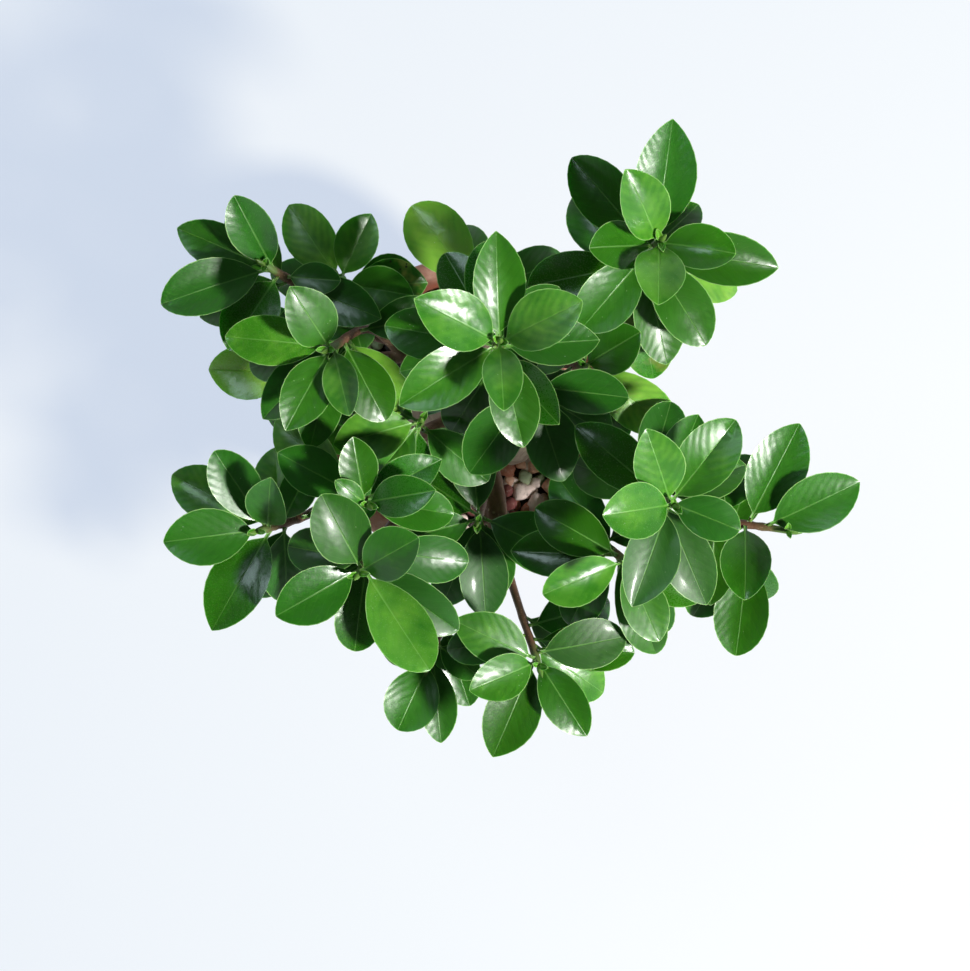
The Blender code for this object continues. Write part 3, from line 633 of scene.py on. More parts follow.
# %% [markdown]
# ### The wood as one skin
# Round tubes along the lines are fused by a voxel remesh, which grows one even skin over all of
# them, so that the forks flow into each other as they do in wood. Where the two front branches part
# at a narrow angle, a short extra tube is the web of bark that fills such a fork. A light smoothing
# then rounds the voxels, and the skin is pushed in and out along its normals by noise: long
# swellings on the roots, small knobs, and faint rings across the grain.

# %% Wood shape
WOOD_STEPS = 9
ROOT_STEPS = 6
VOXEL = 0.85 * MM
SWELL_PITCH = Vector((70, 70, 45))
SWELL_SHARE = 0.075
KNOB_PITCH = 260
KNOB_SHARE = 0.02
LEAST_KNOB = 0.12 * MM
RING_PITCH = Vector((60, 60, 520))
RING_SHARE = 0.012
FORK_WEB = ((10, -30, 165), (10.3, -35, 167), (11.8, -45.3, 168.5), (12.5, -50, 170))
FORK_WEB_RADIUS = 2.4 * MM


def swollen(root):
    """The root's line and radii with more steps, the radius carried along as a fourth number."""
    line, radii = root_line(root)
    places = [Vector((*point, radius)) for point, radius in zip(line, radii)]
    fine = smooth_line(places, ROOT_STEPS)
    return [point.xyz for point in fine], [point.w for point in fine]


def tubes(name, lines, sides=3):
    """Round closed tubes along lines, from one curve with a bevel."""
    curve = bpy.data.curves.new(name, "CURVE")
    curve.dimensions = "3D"
    curve.bevel_depth = 1.0
    curve.bevel_resolution = sides
    curve.use_fill_caps = True
    for line, radii in lines:
        spline = curve.splines.new("POLY")
        spline.points.add(len(line) - 1)
        for point, place, radius in zip(spline.points, line, radii):
            point.co = (*place, 1)
            point.radius = radius
    hold(stand(name, curve))
    bpy.ops.object.convert(target="MESH")
    return bpy.context.object


def wood_lines():
    lines = [swollen(root) for root in ROOTS]
    lines.append(([Vector(place) * MM for place in FORK_WEB], [FORK_WEB_RADIUS] * len(FORK_WEB)))
    lines += [branch_line(shoot, WOOD_STEPS) for shoot in SHOOTS]
    return lines


def grow_wood():
    wood = tubes("trunk_and_branches", wood_lines(), 4)
    finish_with(wood, "REMESH", mode="VOXEL", voxel_size=VOXEL)
    finish_with(wood, "SMOOTH", factor=0.5, iterations=3)
    return wood


def roughen_wood(wood):
    """Pushes the skin in and out by noise, and notes at each point how thick the wood is there."""
    places = KDTree(sum(len(line) for line, _ in wood_lines()))
    radii = []
    for line, thick in wood_lines():
        for place, radius in zip(line, thick):
            places.insert(place, len(radii))
            radii.append(radius)
    places.balance()
    girth = []
    moves = []
    for vert in wood.data.vertices:
        radius = radii[places.find(vert.co)[1]]
        girth.append(radius / MM)
        swell = noise.noise(vert.co * SWELL_PITCH)
        knob = noise.noise(vert.co * KNOB_PITCH)
        ring = noise.noise(vert.co * RING_PITCH)
        push = radius * (SWELL_SHARE * swell + KNOB_SHARE * knob + RING_SHARE * ring)
        moves.append(vert.normal * (push + LEAST_KNOB * knob))
    note(wood.data, "girth", girth)
    for vert, move in zip(wood.data.vertices, moves):
        vert.co += move


wood = grow_wood()
roughen_wood(wood)
smooth_by(wood, degrees=75)
print("wood faces:", len(wood.data.polygons))

# %% [markdown]
# Ficus bark is thin and fairly smooth: grey-brown with a green tinge on the young side, crossed by
# fine short wrinkles, and dotted with pale corky pores. Thin branches are a darker, redder brown.
# The girth noted above drives that change.

# %% Bark finish
def bark_finish():
    bark = Finish("bark", Roughness=0.8)
    girth = bark.value("girth")
    thin = girth.rise(7.5, 4.2)
    patch = bark.noise(95, 5, 0.62).rise(0.36, 0.66)
    old = bark.mix(patch, (0.25, 0.185, 0.125), (0.4, 0.32, 0.225))
    young = bark.mix(patch, (0.11, 0.055, 0.028), (0.22, 0.125, 0.07))
    body = bark.mix(thin, old, young)
    wrinkles = bark.noise(420, 4, 0.6, stretch=(0.5, 0.5, 2.4))
    pores = bark.cells(330, stretch=(1, 1, 2.2)).rise(0.28, 0.12)
    dots = pores * bark.noise(140, 2).rise(0.48, 0.6)
    creased = bark.mix(wrinkles.rise(0.5, 0.32) * 0.5, body, (0.09, 0.055, 0.035))
    bark.colour(bark.mix(dots * 0.7, creased, (0.48, 0.37, 0.25)))
    bark.relief(wrinkles * 0.7 + dots * 0.5 + bark.noise(1300, 2) * 0.2, 0.5 * MM)
    return bark.material


wood.data.materials.append(bark_finish())
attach(wood, "root")
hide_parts("tree")

# %% [markdown]
# ## Pebbles
# Loose stones of 4 to 9 mm in mixed colours cover the earth. They are broken rock, tumbled a
# little, so each has dull corners between a few flat sides. One stone is modelled: an icosphere,
# lumped a little and then pressed flat on seven sides. Copies of it are scaled, turned every way
# and laid in two layers where they touch no root and no wall, then joined. A number picks each
# one's colour.

# %% One stone, many copies
PEBBLE_SEED = 105
PEBBLE_LAYERS = ((SOIL_TOP + 2.2 * MM, 430, 3.1 * MM), (SOIL_TOP + 4.7 * MM, 320, 2.9 * MM))
PEBBLE_PACKING = 0.76
PEBBLE_SPREAD = (0.78, 1.55)
PEBBLE_SIDES = ((0.95, 1.25), (0.8, 1.05), (0.65, 0.85))
PEBBLE_LEAN = (-0.5, 0.5)
PEBBLE_LIFT_MM = (-0.6, 0.6)
TRIES_PER_PEBBLE = 12
WALL_ROOM = 1.05
PEG_ROOM = 0.8
LUMPS = 0.22
PRESS = 0.85
FLATS = (
    ((1, 0.2, 0.3), 0.72), ((-0.8, 0.7, 0.1), 0.76), ((-0.5, -0.9, 0.4), 0.7),
    ((0.6, -0.8, -0.2), 0.78), ((0.1, 0.3, 1), 0.66), ((0.2, -0.2, -1), 0.7),
    ((0.5, 0.8, -0.5), 0.74),
)


def model_stone():
    bpy.ops.mesh.primitive_ico_sphere_add(subdivisions=2, radius=1)
    stone = bpy.context.object
    for vert in stone.data.vertices:
        vert.co *= 1 + LUMPS * noise.noise(vert.co * 1.3 + Vector((3, 1, 7)))
        for side, depth in FLATS:
            way = Vector(side).normalized()
            vert.co -= way * max(0, vert.co.dot(way) - depth) * PRESS
    return stone


def lay_stones(stone):
    draw = random.Random(PEBBLE_SEED)
    pegs = [(Vector((x, y, 0)) * MM, peg * MM) for (x, y, peg), *_ in ROOTS.values()]
    stones = []
    for height, count, usual in PEBBLE_LAYERS:
        placed = []
        for _ in range(count * TRIES_PER_PEBBLE):
            if len(placed) == count:
                break
            size = usual * draw.uniform(*PEBBLE_SPREAD)
            reach = (inner_radius(height) - size * WALL_ROOM) * math.sqrt(draw.random())
            turn = draw.uniform(0, math.tau)
            place = Vector((reach * math.cos(turn), reach * math.sin(turn), 0))
            if any((place - foot).length < peg + size * PEG_ROOM for foot, peg in pegs):
                continue
            if any((place - other).length < PEBBLE_PACKING * (size + far) for other, far in placed):
                continue
            placed.append((place, size))
            copy = stand("stone", stone.data.copy())
            shape = Matrix.Diagonal([draw.uniform(*sides) for sides in PEBBLE_SIDES])
            spin = Matrix.Rotation(draw.uniform(0, math.tau), 3, "Z")
            lean = Matrix.Rotation(draw.uniform(*PEBBLE_LEAN), 3, "X")
            roll = Matrix.Rotation(draw.uniform(0, math.tau), 3, "Y")
            whole = (spin @ lean @ shape @ roll).to_4x4()
            rise = UP * (height + draw.uniform(*PEBBLE_LIFT_MM) * MM)
            copy.data.transform(Matrix.Translation(place + rise) @ whole @ Matrix.Scale(size, 4))
            note(copy.data, "pick", [draw.random()] * len(copy.data.vertices))
            stones.append(copy)
    return stones


def join_all(things, name):
    bpy.ops.object.select_all(action="DESELECT")
    for thing in things:
        thing.select_set(True)
    bpy.context.view_layer.objects.active = things[0]
    bpy.ops.object.join()
    joined = bpy.context.object
    joined.name = name
    joined.data.name = name
    return joined


stone = model_stone()
stones = lay_stones(stone)
print("pebbles:", len(stones))
pebbles = join_all(stones, "pebble_layer")
bpy.data.objects.remove(stone)
pebbles.data.shade_smooth()

# %% [markdown]
# Each stone's number picks one of seven stone colours by hard steps: peach, pink-white, maroon,
# charcoal, grey-green, pale grey and brick. Speckles and a soft mottle keep each from being flat.

# %% Pebble finish
def pebble_finish():
    pebble = Finish("mixed pebbles", Roughness=0.82)
    hues = (
        (0.0, (0.68, 0.37, 0.25)),
        (0.28, (0.74, 0.6, 0.55)),
        (0.46, (0.2, 0.055, 0.05)),
        (0.58, (0.045, 0.035, 0.035)),
        (0.65, (0.34, 0.42, 0.25)),
        (0.78, (0.6, 0.58, 0.53)),
        (0.89, (0.4, 0.15, 0.09)),
    )
    ramp = pebble.node("ValToRGB", {"stops": hues}, {"Fac": pebble.value("pick")})
    ramp.socket.node.color_ramp.interpolation = "CONSTANT"
    mottle = pebble.noise(420, 4, 0.65)
    worn = pebble.mix(mottle.rise(0.5, 0.75) * 0.4, ramp, (0.6, 0.52, 0.45))
    pebble.colour(pebble.mix(mottle.rise(0.48, 0.25) * 0.5, worn, (0.06, 0.035, 0.03)))
    pebble.relief(pebble.noise(1500, 3, 0.6) + mottle, 0.25 * MM)
    return pebble.material


pebbles.data.materials.append(pebble_finish())
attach(pebbles, "root")
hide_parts("gravel")

# %% [markdown]
# ## Where each leaf lies
# A leaf is an arched, folded blade on a short stalk. These functions give any point of its middle
# line and its width, as the solids have them.

# %% Leaf lines
STALK_SHARE = 0.12
STALK_HALF_WIDTH = 0.7 * MM
STALK_FOOT_SHARE = 0.03
STALK_FOOT_HALF_WIDTH = 0.85 * MM
TIP_HALF_WIDTH = 0.25 * MM
BASE_BLUNTNESS = 0.8
LOWEST_LEAF = 0.3


def point_below_tip(line, distance):
    """The point of a stem's middle line that lies so far below its tip."""
    left = distance
    for upper, lower in zip(line[::-1], line[-2::-1]):
        span = (upper - lower).length
        if left <= span:
            return upper.lerp(lower, left / span)
        left -= span
    return line[0].lerp(line[1], LOWEST_LEAF)


def half_width(leaf, along):
    """Half the leaf's width: a slim stalk, then a blade with a rounded base and a blunt tip."""
    if along < STALK_SHARE:
        return STALK_FOOT_HALF_WIDTH if along < STALK_FOOT_SHARE else STALK_HALF_WIDTH
    u = (along - STALK_SHARE) / (1 - STALK_SHARE)
    widest = BASE_BLUNTNESS / (BASE_BLUNTNESS + leaf["point"])
    shape = (u / widest) ** BASE_BLUNTNESS * (max(0, 1 - u) / (1 - widest)) ** leaf["point"]
    return max(leaf["width"] / 2 * shape, TIP_HALF_WIDTH)


def outward_of(leaf):
    """The level direction in which the leaf points."""
    heading = math.radians(leaf["heading"])
    return Vector((math.cos(heading), math.sin(heading), 0))


def leaf_section(leaf, along):
    """Middle, left-hand direction and upper direction of the blade at a share of its length."""
    outward = outward_of(leaf)
    left = UP.cross(outward)
    arch = math.radians(leaf["arch"])
    start = math.radians(leaf["rise"]) + arch / 2
    now = start - arch * along
    radius = leaf["length"] / arch
    middle = leaf["root"] + outward * radius * (math.sin(start) - math.sin(now))
    middle = middle + UP * radius * (math.cos(now) - math.cos(start))
    forward = outward * math.cos(now) + UP * math.sin(now)
    upper = forward.cross(left)
    roll = math.radians(leaf["roll"]) * min(1, along * 2)
    turned_left = left * math.cos(roll) + upper * math.sin(roll)
    return middle, turned_left, upper * math.cos(roll) - left * math.sin(roll)


# %% [markdown]
# Leaves on a real tree find room by bending their stalks, and the solids' leaves did the same.
# Where two would touch, one was turned and lifted by the smallest angles that left it free. A new
# search would find the same, so those angles are noted here by shoot and leaf, and so are three
# leaves that found no room. The lower leaves follow each other by the golden angle, as on many
# stems. Each leaf's roll, fold, arch and point are drawn in the solids' own order, so that each
# fine leaf comes out where its solid is.

# %% Every leaf
SEED = 20
ROLL_DEGREES = (-13, 13)
FOLD_DEGREES = (13, 24)
ARCH_DEGREES = (16, 38)
TIP_BLUNTNESS = (0.62, 0.86)
GOLDEN_ANGLE = 137.5
LOWER_STEP_MM = 5.5
LOWER_LENGTH_MM = (33, 38)
LOWER_WIDTH_SHARE = 0.52
LOWER_RISE_DEGREES = -14
LOWER_DROP_DEGREES = 5
TURNED = {
    "shoot_crown": {2: (0, 6), 3: (0, 6), 13: (-10, 42), 15: (0, -6)},
    "shoot_back_right": {3: (0, -6), 15: (10, -36)},
    "shoot_right": {9: (0, -18), 10: (0, 6), 11: (0, 12)},
    "shoot_far_right": {4: (0, 6)},
    "shoot_right_front": {6: (0, 12), 9: (0, 24)},
    "shoot_right_inner": {0: (0, 12), 2: (-5, 0), 3: (0, -6), 4: (10, 18), 5: (0, -24)},
    "shoot_middle": {4: (-10, 0)},
    "shoot_left_high": {9: (0, -6), 10: (0, -12), 12: (20, 6)},
    "shoot_back_left": {4: (0, -18)},
    "shoot_back": {3: (0, 24)},
    "shoot_left_edge": {1: (0, -18), 4: (20, -24)},
    "shoot_far_left": {1: (0, 6), 3: (0, -6), 7: (0, 30)},
    "shoot_left_middle": {5: (0, 6), 7: (-10, 0), 8: (0, -24)},
    "shoot_left_low": {5: (0, -12), 6: (0, 24), 8: (0, -12), 9: (-10, -12)},
    "shoot_front_left": {2: (0, 6)},
    "shoot_front": {1: (0, 12), 4: (0, -6), 5: (0, -24), 7: (0, 12), 9: (0, -18)},
    "shoot_inner_left": {0: (0, 6), 1: (0, -6), 2: (0, -18), 4: (0, -36), 7: (0, -12)},
    "shoot_inner_front": {2: (-5, 6)},
}
NO_ROOM = {"shoot_back_left": 7, "shoot_front_left": 9, "shoot_inner_left": 6}


def new_leaf(draw, shoot, number, row):
    """One leaf's numbers, from its row, its noted turn and its own draws."""
    below, heading, rise, length, width = row
    turn, lift = TURNED.get(shoot.name, {}).get(number, (0, 0))
    return {
        "number": number,
        "below": below,
        "root": point_below_tip(stem_line(shoot), below * MM),
        "heading": heading + turn,
        "rise": rise + lift,
        "length": length * MM,
        "width": width * MM,
        "roll": draw.uniform(*ROLL_DEGREES),
        "fold": draw.uniform(*FOLD_DEGREES),
        "arch": draw.uniform(*ARCH_DEGREES),
        "point": draw.uniform(*TIP_BLUNTNESS),
    }


def all_leaves():
    """Every leaf of every shoot: first the listed ones, then more down each stem by rule."""
    draw = random.Random(SEED)
    leaves = {}
    for shoot in SHOOTS:
        rows = enumerate(shoot.leaves)
        leaves[shoot.name] = [new_leaf(draw, shoot, number, row) for number, row in rows]
    for shoot in SHOOTS:
        found = leaves[shoot.name]
        below = max(row[0] for row in shoot.leaves)
        heading = shoot.leaves[-1][1]
        for count in range(shoot.more):
            below += LOWER_STEP_MM
            heading += GOLDEN_ANGLE
            rise = LOWER_RISE_DEGREES - LOWER_DROP_DEGREES * count
            length = draw.uniform(*LOWER_LENGTH_MM)
            row = (below, heading, rise, length, length * LOWER_WIDTH_SHARE)
            found.append(new_leaf(draw, shoot, len(found), row))
    for name, number in NO_ROOM.items():
        leaves[name].pop(number)
    return leaves


leaves = all_leaves()
print("leaves:", sum(len(found) for found in leaves.values()))

# %% [markdown]
# ## One leaf, many copies
# The real blade is thick and leathery: a smooth oval that narrows into a short stalk, gently
# cupped, with a groove along its midrib and a thin pale margin. One blank is modelled: a grid,
# whose rows are drawn together toward the stalk and the tip, given two faces by Solidify. The blank
# is flat and one unit long. Each copy is then laid on its own arched line, where it gets its own
# width, cup, wave and thickness.

# %% The blank
BLANK_ROWS = (
    0.0, 0.06, 0.12, 0.145, 0.18, 0.23, 0.3, 0.38, 0.47,
    0.57, 0.67, 0.76, 0.84, 0.91, 0.96, 0.99, 1.0,
)
BLANK_COLUMNS = (-1.0, -0.52, 0.0, 0.52, 1.0)
BLANK_THICKNESS = 0.2
SAME_LINE = 1e-5
AWAY = 10


def select_line(mesh, axis, value):
    """Selects, in edit mode, the points of a grid that share one coordinate."""
    shape = bmesh.from_edit_mesh(mesh)
    for vert in shape.verts:
        vert.select_set(abs(vert.co[axis] - value) < SAME_LINE)
    shape.select_flush(True)
    bmesh.update_edit_mesh(mesh)


def slide_lines(mesh, axis, places, low, high):
    """Moves the even lines of a grid to the given places, by way of a spot far from the rest."""
    shift = [0, 0, 0]
    for number, place in enumerate(places):
        even = low + (high - low) * number / (len(places) - 1)
        select_line(mesh, axis, even)
        shift[axis] = place - even + AWAY
        bpy.ops.transform.translate(value=shift)
    bpy.ops.mesh.select_all(action="SELECT")
    shift[axis] = -AWAY
    bpy.ops.transform.translate(value=shift)


def model_blank():
    rows, columns = len(BLANK_ROWS) - 1, len(BLANK_COLUMNS) - 1
    bpy.ops.mesh.primitive_grid_add(x_subdivisions=rows, y_subdivisions=columns, size=2)
    blank = bpy.context.object
    blank.name = "leaf_blank"
    bpy.ops.object.mode_set(mode="EDIT")
    bpy.ops.mesh.select_all(action="SELECT")
    bpy.ops.transform.translate(value=(1, 0, 0))
    bpy.ops.transform.resize(value=(0.5, 1, 1), center_override=(0, 0, 0))
    slide_lines(blank.data, 0, BLANK_ROWS, 0, 1)
    slide_lines(blank.data, 1, BLANK_COLUMNS, -1, 1)
    bpy.ops.object.mode_set(mode="OBJECT")
    blank.data.uv_layers[0].name = "blade"
    finish_with(blank, "SOLIDIFY", thickness=BLANK_THICKNESS, offset=0, material_offset=1)
    return blank


blank = model_blank()
print("faces of a leaf:", len(blank.data.polygons))

# %% [markdown]
# A copy's flat place is read as share along the leaf, share across it, and face. From these come
# its point on the arched line, its cup, a slow wave of the margin, and half the thickness there:
# stout in the stalk and along the midrib, thin at the margin. Distances in mm from the midrib and
# from the margin are kept as attributes, because veins and margin have a width in mm on any leaf.

# %% Laying a copy
RIPPLE = 0.45 * MM
RIPPLE_TURNS = 7.5
RIPPLE_SLANT = 2
RIPPLE_WIDTH = 4 * MM
STALK_DEPTH = 0.7
STALK_END = 0.2
RIB_DEPTH = 0.16
BLADE_DEPTH = 0.27
MARGIN_THINNER = 0.12
TIP_THINNER = 0.08
TONES = ("age", "worn", "dull", "quilt", "hue")


def half_thickness(along, across):
    """A stalk that runs out under the blade, a midrib, and a blade that thins to margin and tip."""
    stalk = STALK_DEPTH * max(0.0, 1 - along / STALK_END)
    rib = RIB_DEPTH * (1 - along) * (1 - across * across)
    blade = BLADE_DEPTH - MARGIN_THINNER * abs(across) - TIP_THINNER * along
    return max(stalk, rib + blade) * MM


def lay_leaf(leaf, flat):
    """The points of one copy, and their distances from midrib and margin in mm."""
    points = []
    across_mm = []
    margin_mm = []
    for along, across, face in flat:
        middle, left, upper = leaf_section(leaf, along)
        wide = half_width(leaf, along)
        cup = (1 - leaf["cup"]) * abs(across) + leaf["cup"] * across * across
        lift = wide * math.sin(math.radians(leaf["fold"])) * cup
        wave = math.sin(leaf["wave"] + RIPPLE_TURNS * along + RIPPLE_SLANT * across)
        ripple = RIPPLE * wave * abs(across)
        fade = min(1.0, wide / RIPPLE_WIDTH)
        side = left * wide * math.cos(math.radians(leaf["fold"])) * across
        skin = math.copysign(half_thickness(along, across), face)
        points.append(middle + side + upper * (lift + ripple * fade + skin))
        across_mm.append(wide * across / MM)
        margin_mm.append(min(wide * (1 - abs(across)), leaf["length"] * (1 - along)) / MM)
    return points, across_mm, margin_mm


def copy_leaf(blank, leaf):
    """A finished leaf: the blank's mesh on this leaf's own line, with this leaf's own tones."""
    mesh = blank.data.copy()
    flat = [tuple(vert.co) for vert in mesh.vertices]
    points, across_mm, margin_mm = lay_leaf(leaf, flat)
    mesh.vertices.foreach_set("co", [number for point in points for number in point])
    values = {
        "across": across_mm,
        "margin": margin_mm,
        "along": [place[0] * leaf["length"] / MM for place in flat],
        **{tone: [leaf[tone]] * len(flat) for tone in TONES},
    }
    for name, numbers in values.items():
        note(mesh, name, numbers)
    mesh.update()
    return stand("leaf", mesh)


# %% [markdown]
# Tone follows how old a leaf is, with painted light and shade laid over it. Leaves near a tip are
# younger and brighter, lower ones darker. The tones of the upper leaves are listed shoot by shoot,
# and so are those of a few low ones. Each listed tone mixes the leaf's own green with painted light
# and shade: darker for a leaf in the shade of others, brighter for one in the sun, and brightest
# for a few that are painted as if light shone through them. Two old ones at the back have yellow
# patches and brown specks. A few inner ones are duller, for real leaves don't all gleam alike, and
# painted shade darkens their green. No half-blade is quite flat: it cups a little up or down, since
# a flat one would flash all over at once.

# %% Ages and painted light
# Listed tones: each mixes the leaf's own green with painted shade (low) or painted light (high); 1
# and above is painted light shining through the blade.
UPPER_AGES_AND_PAINTED_LIGHT = {
    "shoot_crown": (0.5, 0.6, 0.68, 0.72, 0.65, 0.35, 0.4, 0.25, 0.25),
    "shoot_back_right": (0.5, 0.68, 0.76, 0.5, 0.45, 0.2, 0.15, 0.45, 0.35),
    "shoot_right": (0.62, 0.55, 0.66, 0.2, 0.25, 0.15, 0.3, 0.2),
    "shoot_far_right": (0.5, 0.5, 0.4),
    "shoot_right_edge": (0.3, 0.5),
    "shoot_right_front": (0.68, 0.62, 0.2, 0.15, 0.2, 0.4, 0.5),
    "shoot_right_inner": (0.3, 0.5, 0.9),
    "shoot_middle": (0.15, 0.15, 0.2),
    "shoot_left_high": (0.45, 0.64, 0.4, 0.68, 0.2),
    "shoot_back_left": (0.8, 0.7, 0.55),
    "shoot_back": (1.0, 0.4, 0.45),
    "shoot_left_edge": (1.1, 0.5, 0.5, 0.75),
    "shoot_far_left": (0.25, 0.2, 0.3, 0.55),
    "shoot_left_middle": (0.2, 0.4, 0.25),
    "shoot_left_low": (0.4, 0.3, 0.4, 0.35, 0.75, 0.7),
    "shoot_front_left": (0.25, 0.3, 0.55, 0.76, 0.2, 0.15),
    "shoot_front": (0.6, 0.55, 0.2, 0.3, 0.1, 0.1, 0.7),
    "shoot_front_low": (0.5, 0.2),
    "shoot_inner_front": (0.2, 0.1, 0.1, 0.35, 0.1, 0.3, 0.15),
    "shoot_inner_left": (0.74, 0.6, 0.3),
}
LOWER_AGES_AND_PAINTED_LIGHT = {
    "shoot_left_middle": {6: 0.8},
    "shoot_left_high": {8: 0.95, 9: 0.7},
    "shoot_back_right": {12: 0.6, 13: 0.9},
}
WORN = {"shoot_back_left": {3: 1.0}, "shoot_back_right": {12: 0.5}}
# Dull leaves get a rougher gloss, and painted shade darkens their green, as they lie in the shade
# of others.
DULL_AND_PAINTED_SHADE = {
    "shoot_inner_front": {1: 1.0},
    "shoot_right": {3: 0.8, 7: 0.9},
    "shoot_right_front": {1: 0.5},
    "shoot_front_left": {0: 0.7, 4: 0.7, 6: 0.6},
    "shoot_front": {0: 0.4, 4: 0.7},
    "shoot_left_high": {0: 0.4},
}
LEAST_CUP = 0.28
CUP_SPREAD = 0.35
AGE_AT_TIP = 0.6
AGE_STEP = 0.022
AGE_SPREAD = 0.14
DARKEST, BRIGHTEST = 0.08, 0.8


def give_ages_and_painted_light(leaves):
    """Gives each leaf its tones and its form: what is listed, and the rest drawn."""
    draw = random.Random(SEED + 1)
    for name, found in leaves.items():
        noted = {**dict(enumerate(UPPER_AGES_AND_PAINTED_LIGHT[name])), **LOWER_AGES_AND_PAINTED_LIGHT.get(name, {})}
        for leaf in found:
            number = leaf["number"]
            usual = AGE_AT_TIP - AGE_STEP * leaf["below"] + draw.uniform(-AGE_SPREAD, AGE_SPREAD)
            leaf["age"] = noted.get(number, min(BRIGHTEST, max(DARKEST, usual)))
            leaf["worn"] = WORN.get(name, {}).get(number, 0.0)
            leaf["dull"] = DULL_AND_PAINTED_SHADE.get(name, {}).get(number, 0.0)
            leaf["wave"] = draw.uniform(0, math.tau)
            cup = draw.uniform(-CUP_SPREAD, CUP_SPREAD)
            leaf["cup"] = cup + math.copysign(LEAST_CUP, cup)
            leaf["quilt"] = draw.random()
            leaf["hue"] = draw.random()


give_ages_and_painted_light(leaves)

# %% [markdown]
# ## Stems and buds
# A shoot's stem is a tapered tube that swells a little where each stalk joins. It starts inside
# the branch, so that no gap shows. The end bud of a fig is a long green point, and a small one sits
# above each leaf stalk. One bud is modelled, a stretched sphere drawn to a point, and copied.

# %% Stem and bud shapes
STEM_STEPS = 16
STEM_OVERLAP = 2 * MM
STEM_SLIMMER = 0.12 * MM
NODE_SWELL = 0.35 * MM
NODE_REACH = 2 * MM
NECK_LENGTH = 1 * MM
NECK_SHARE = 0.7
BUD_LENGTH = 6 * MM
BUD_FULLNESS = 1.05
BUD_TAPER = 0.75
SIDE_BUD_LIFT = 1 * MM
SIDE_BUD_LENGTH = 2.2 * MM
SIDE_BUD_RADIUS = 0.7 * MM


def fine_stem(shoot, found):
    """The knotted stem, its tip and the direction in which its bud points."""
    line = stem_line(shoot, STEM_STEPS)
    line = [line[0] - foot_direction(*course(shoot)) * STEM_OVERLAP, *line]
    last = len(line) - 1
    radii = []
    for number, place in enumerate(line):
        radius = FOOT_RADIUS + (TIP_RADIUS - FOOT_RADIUS) * number / last
        near = min((place - leaf["root"]).length for leaf in found)
        radii.append(radius - STEM_SLIMMER + NODE_SWELL * max(0.0, 1 - near / NODE_REACH))
    tip = line[-1]
    forward = (tip - line[-2]).normalized()
    neck = tip + forward * NECK_LENGTH
    stem = tubes("stem", [([*line, neck], [*radii, radii[-1] * NECK_SHARE])], 2)
    note(stem.data, "below", [(vert.co - tip).length / MM for vert in stem.data.vertices])
    return stem, tip, forward


def model_bud():
    bpy.ops.mesh.primitive_uv_sphere_add(segments=8, ring_count=7, radius=1)
    bud = bpy.context.object
    for vert in bud.data.vertices:
        height = (vert.co.z + 1) / 2
        vert.co.x *= 1 - BUD_TAPER * height**2
        vert.co.y *= 1 - BUD_TAPER * height**2
        vert.co.z = height
    return bud


def copy_bud(bud, place, direction, length, radius):
    mesh = bud.data.copy()
    turn = direction.to_track_quat("Z", "Y").to_matrix().to_4x4()
    size = Matrix.Diagonal((radius, radius, length, 1))
    mesh.transform(Matrix.Translation(place) @ turn @ size)
    return stand("bud", mesh)


# %% [markdown]
# ## Leaf, stem and bud finishes
# The upper face is deep green and waxy. A pale midrib, faint side veins that curve toward the tip,
# a thin pale margin that is partly painted highlight, and soft patches of tone lie on it, all from
# the attributes in mm. Between the side veins a blade bulges a little, like a quilt. Each leaf has
# its own share of that, its own lean toward a cooler green and its own gloss. Each leaf's tone also
# carries painted light and shade, and the duller ones are darkened by painted shade. Worn leaves
# get yellow patches with brown specks. The underside is paler and duller.

# %% Leaf finishes
VEIN_SPACING = 4.4


def veins_of(leaf_face):
    """Masks of midrib, side veins and margin."""
    across = leaf_face.value("across")
    along = leaf_face.value("along")
    away = across.size()
    midrib = (away + along * 0.008).rise(0.6, 0.18)
    sweep = along - away * 0.75 - away * away * 0.05
    wobble = leaf_face.noise(230, 1) * 2.4
    side = (((sweep + wobble) / VEIN_SPACING).part() - 0.5).size()
    margin = leaf_face.value("margin").rise(0.42, 0.1)
    return midrib, side, margin


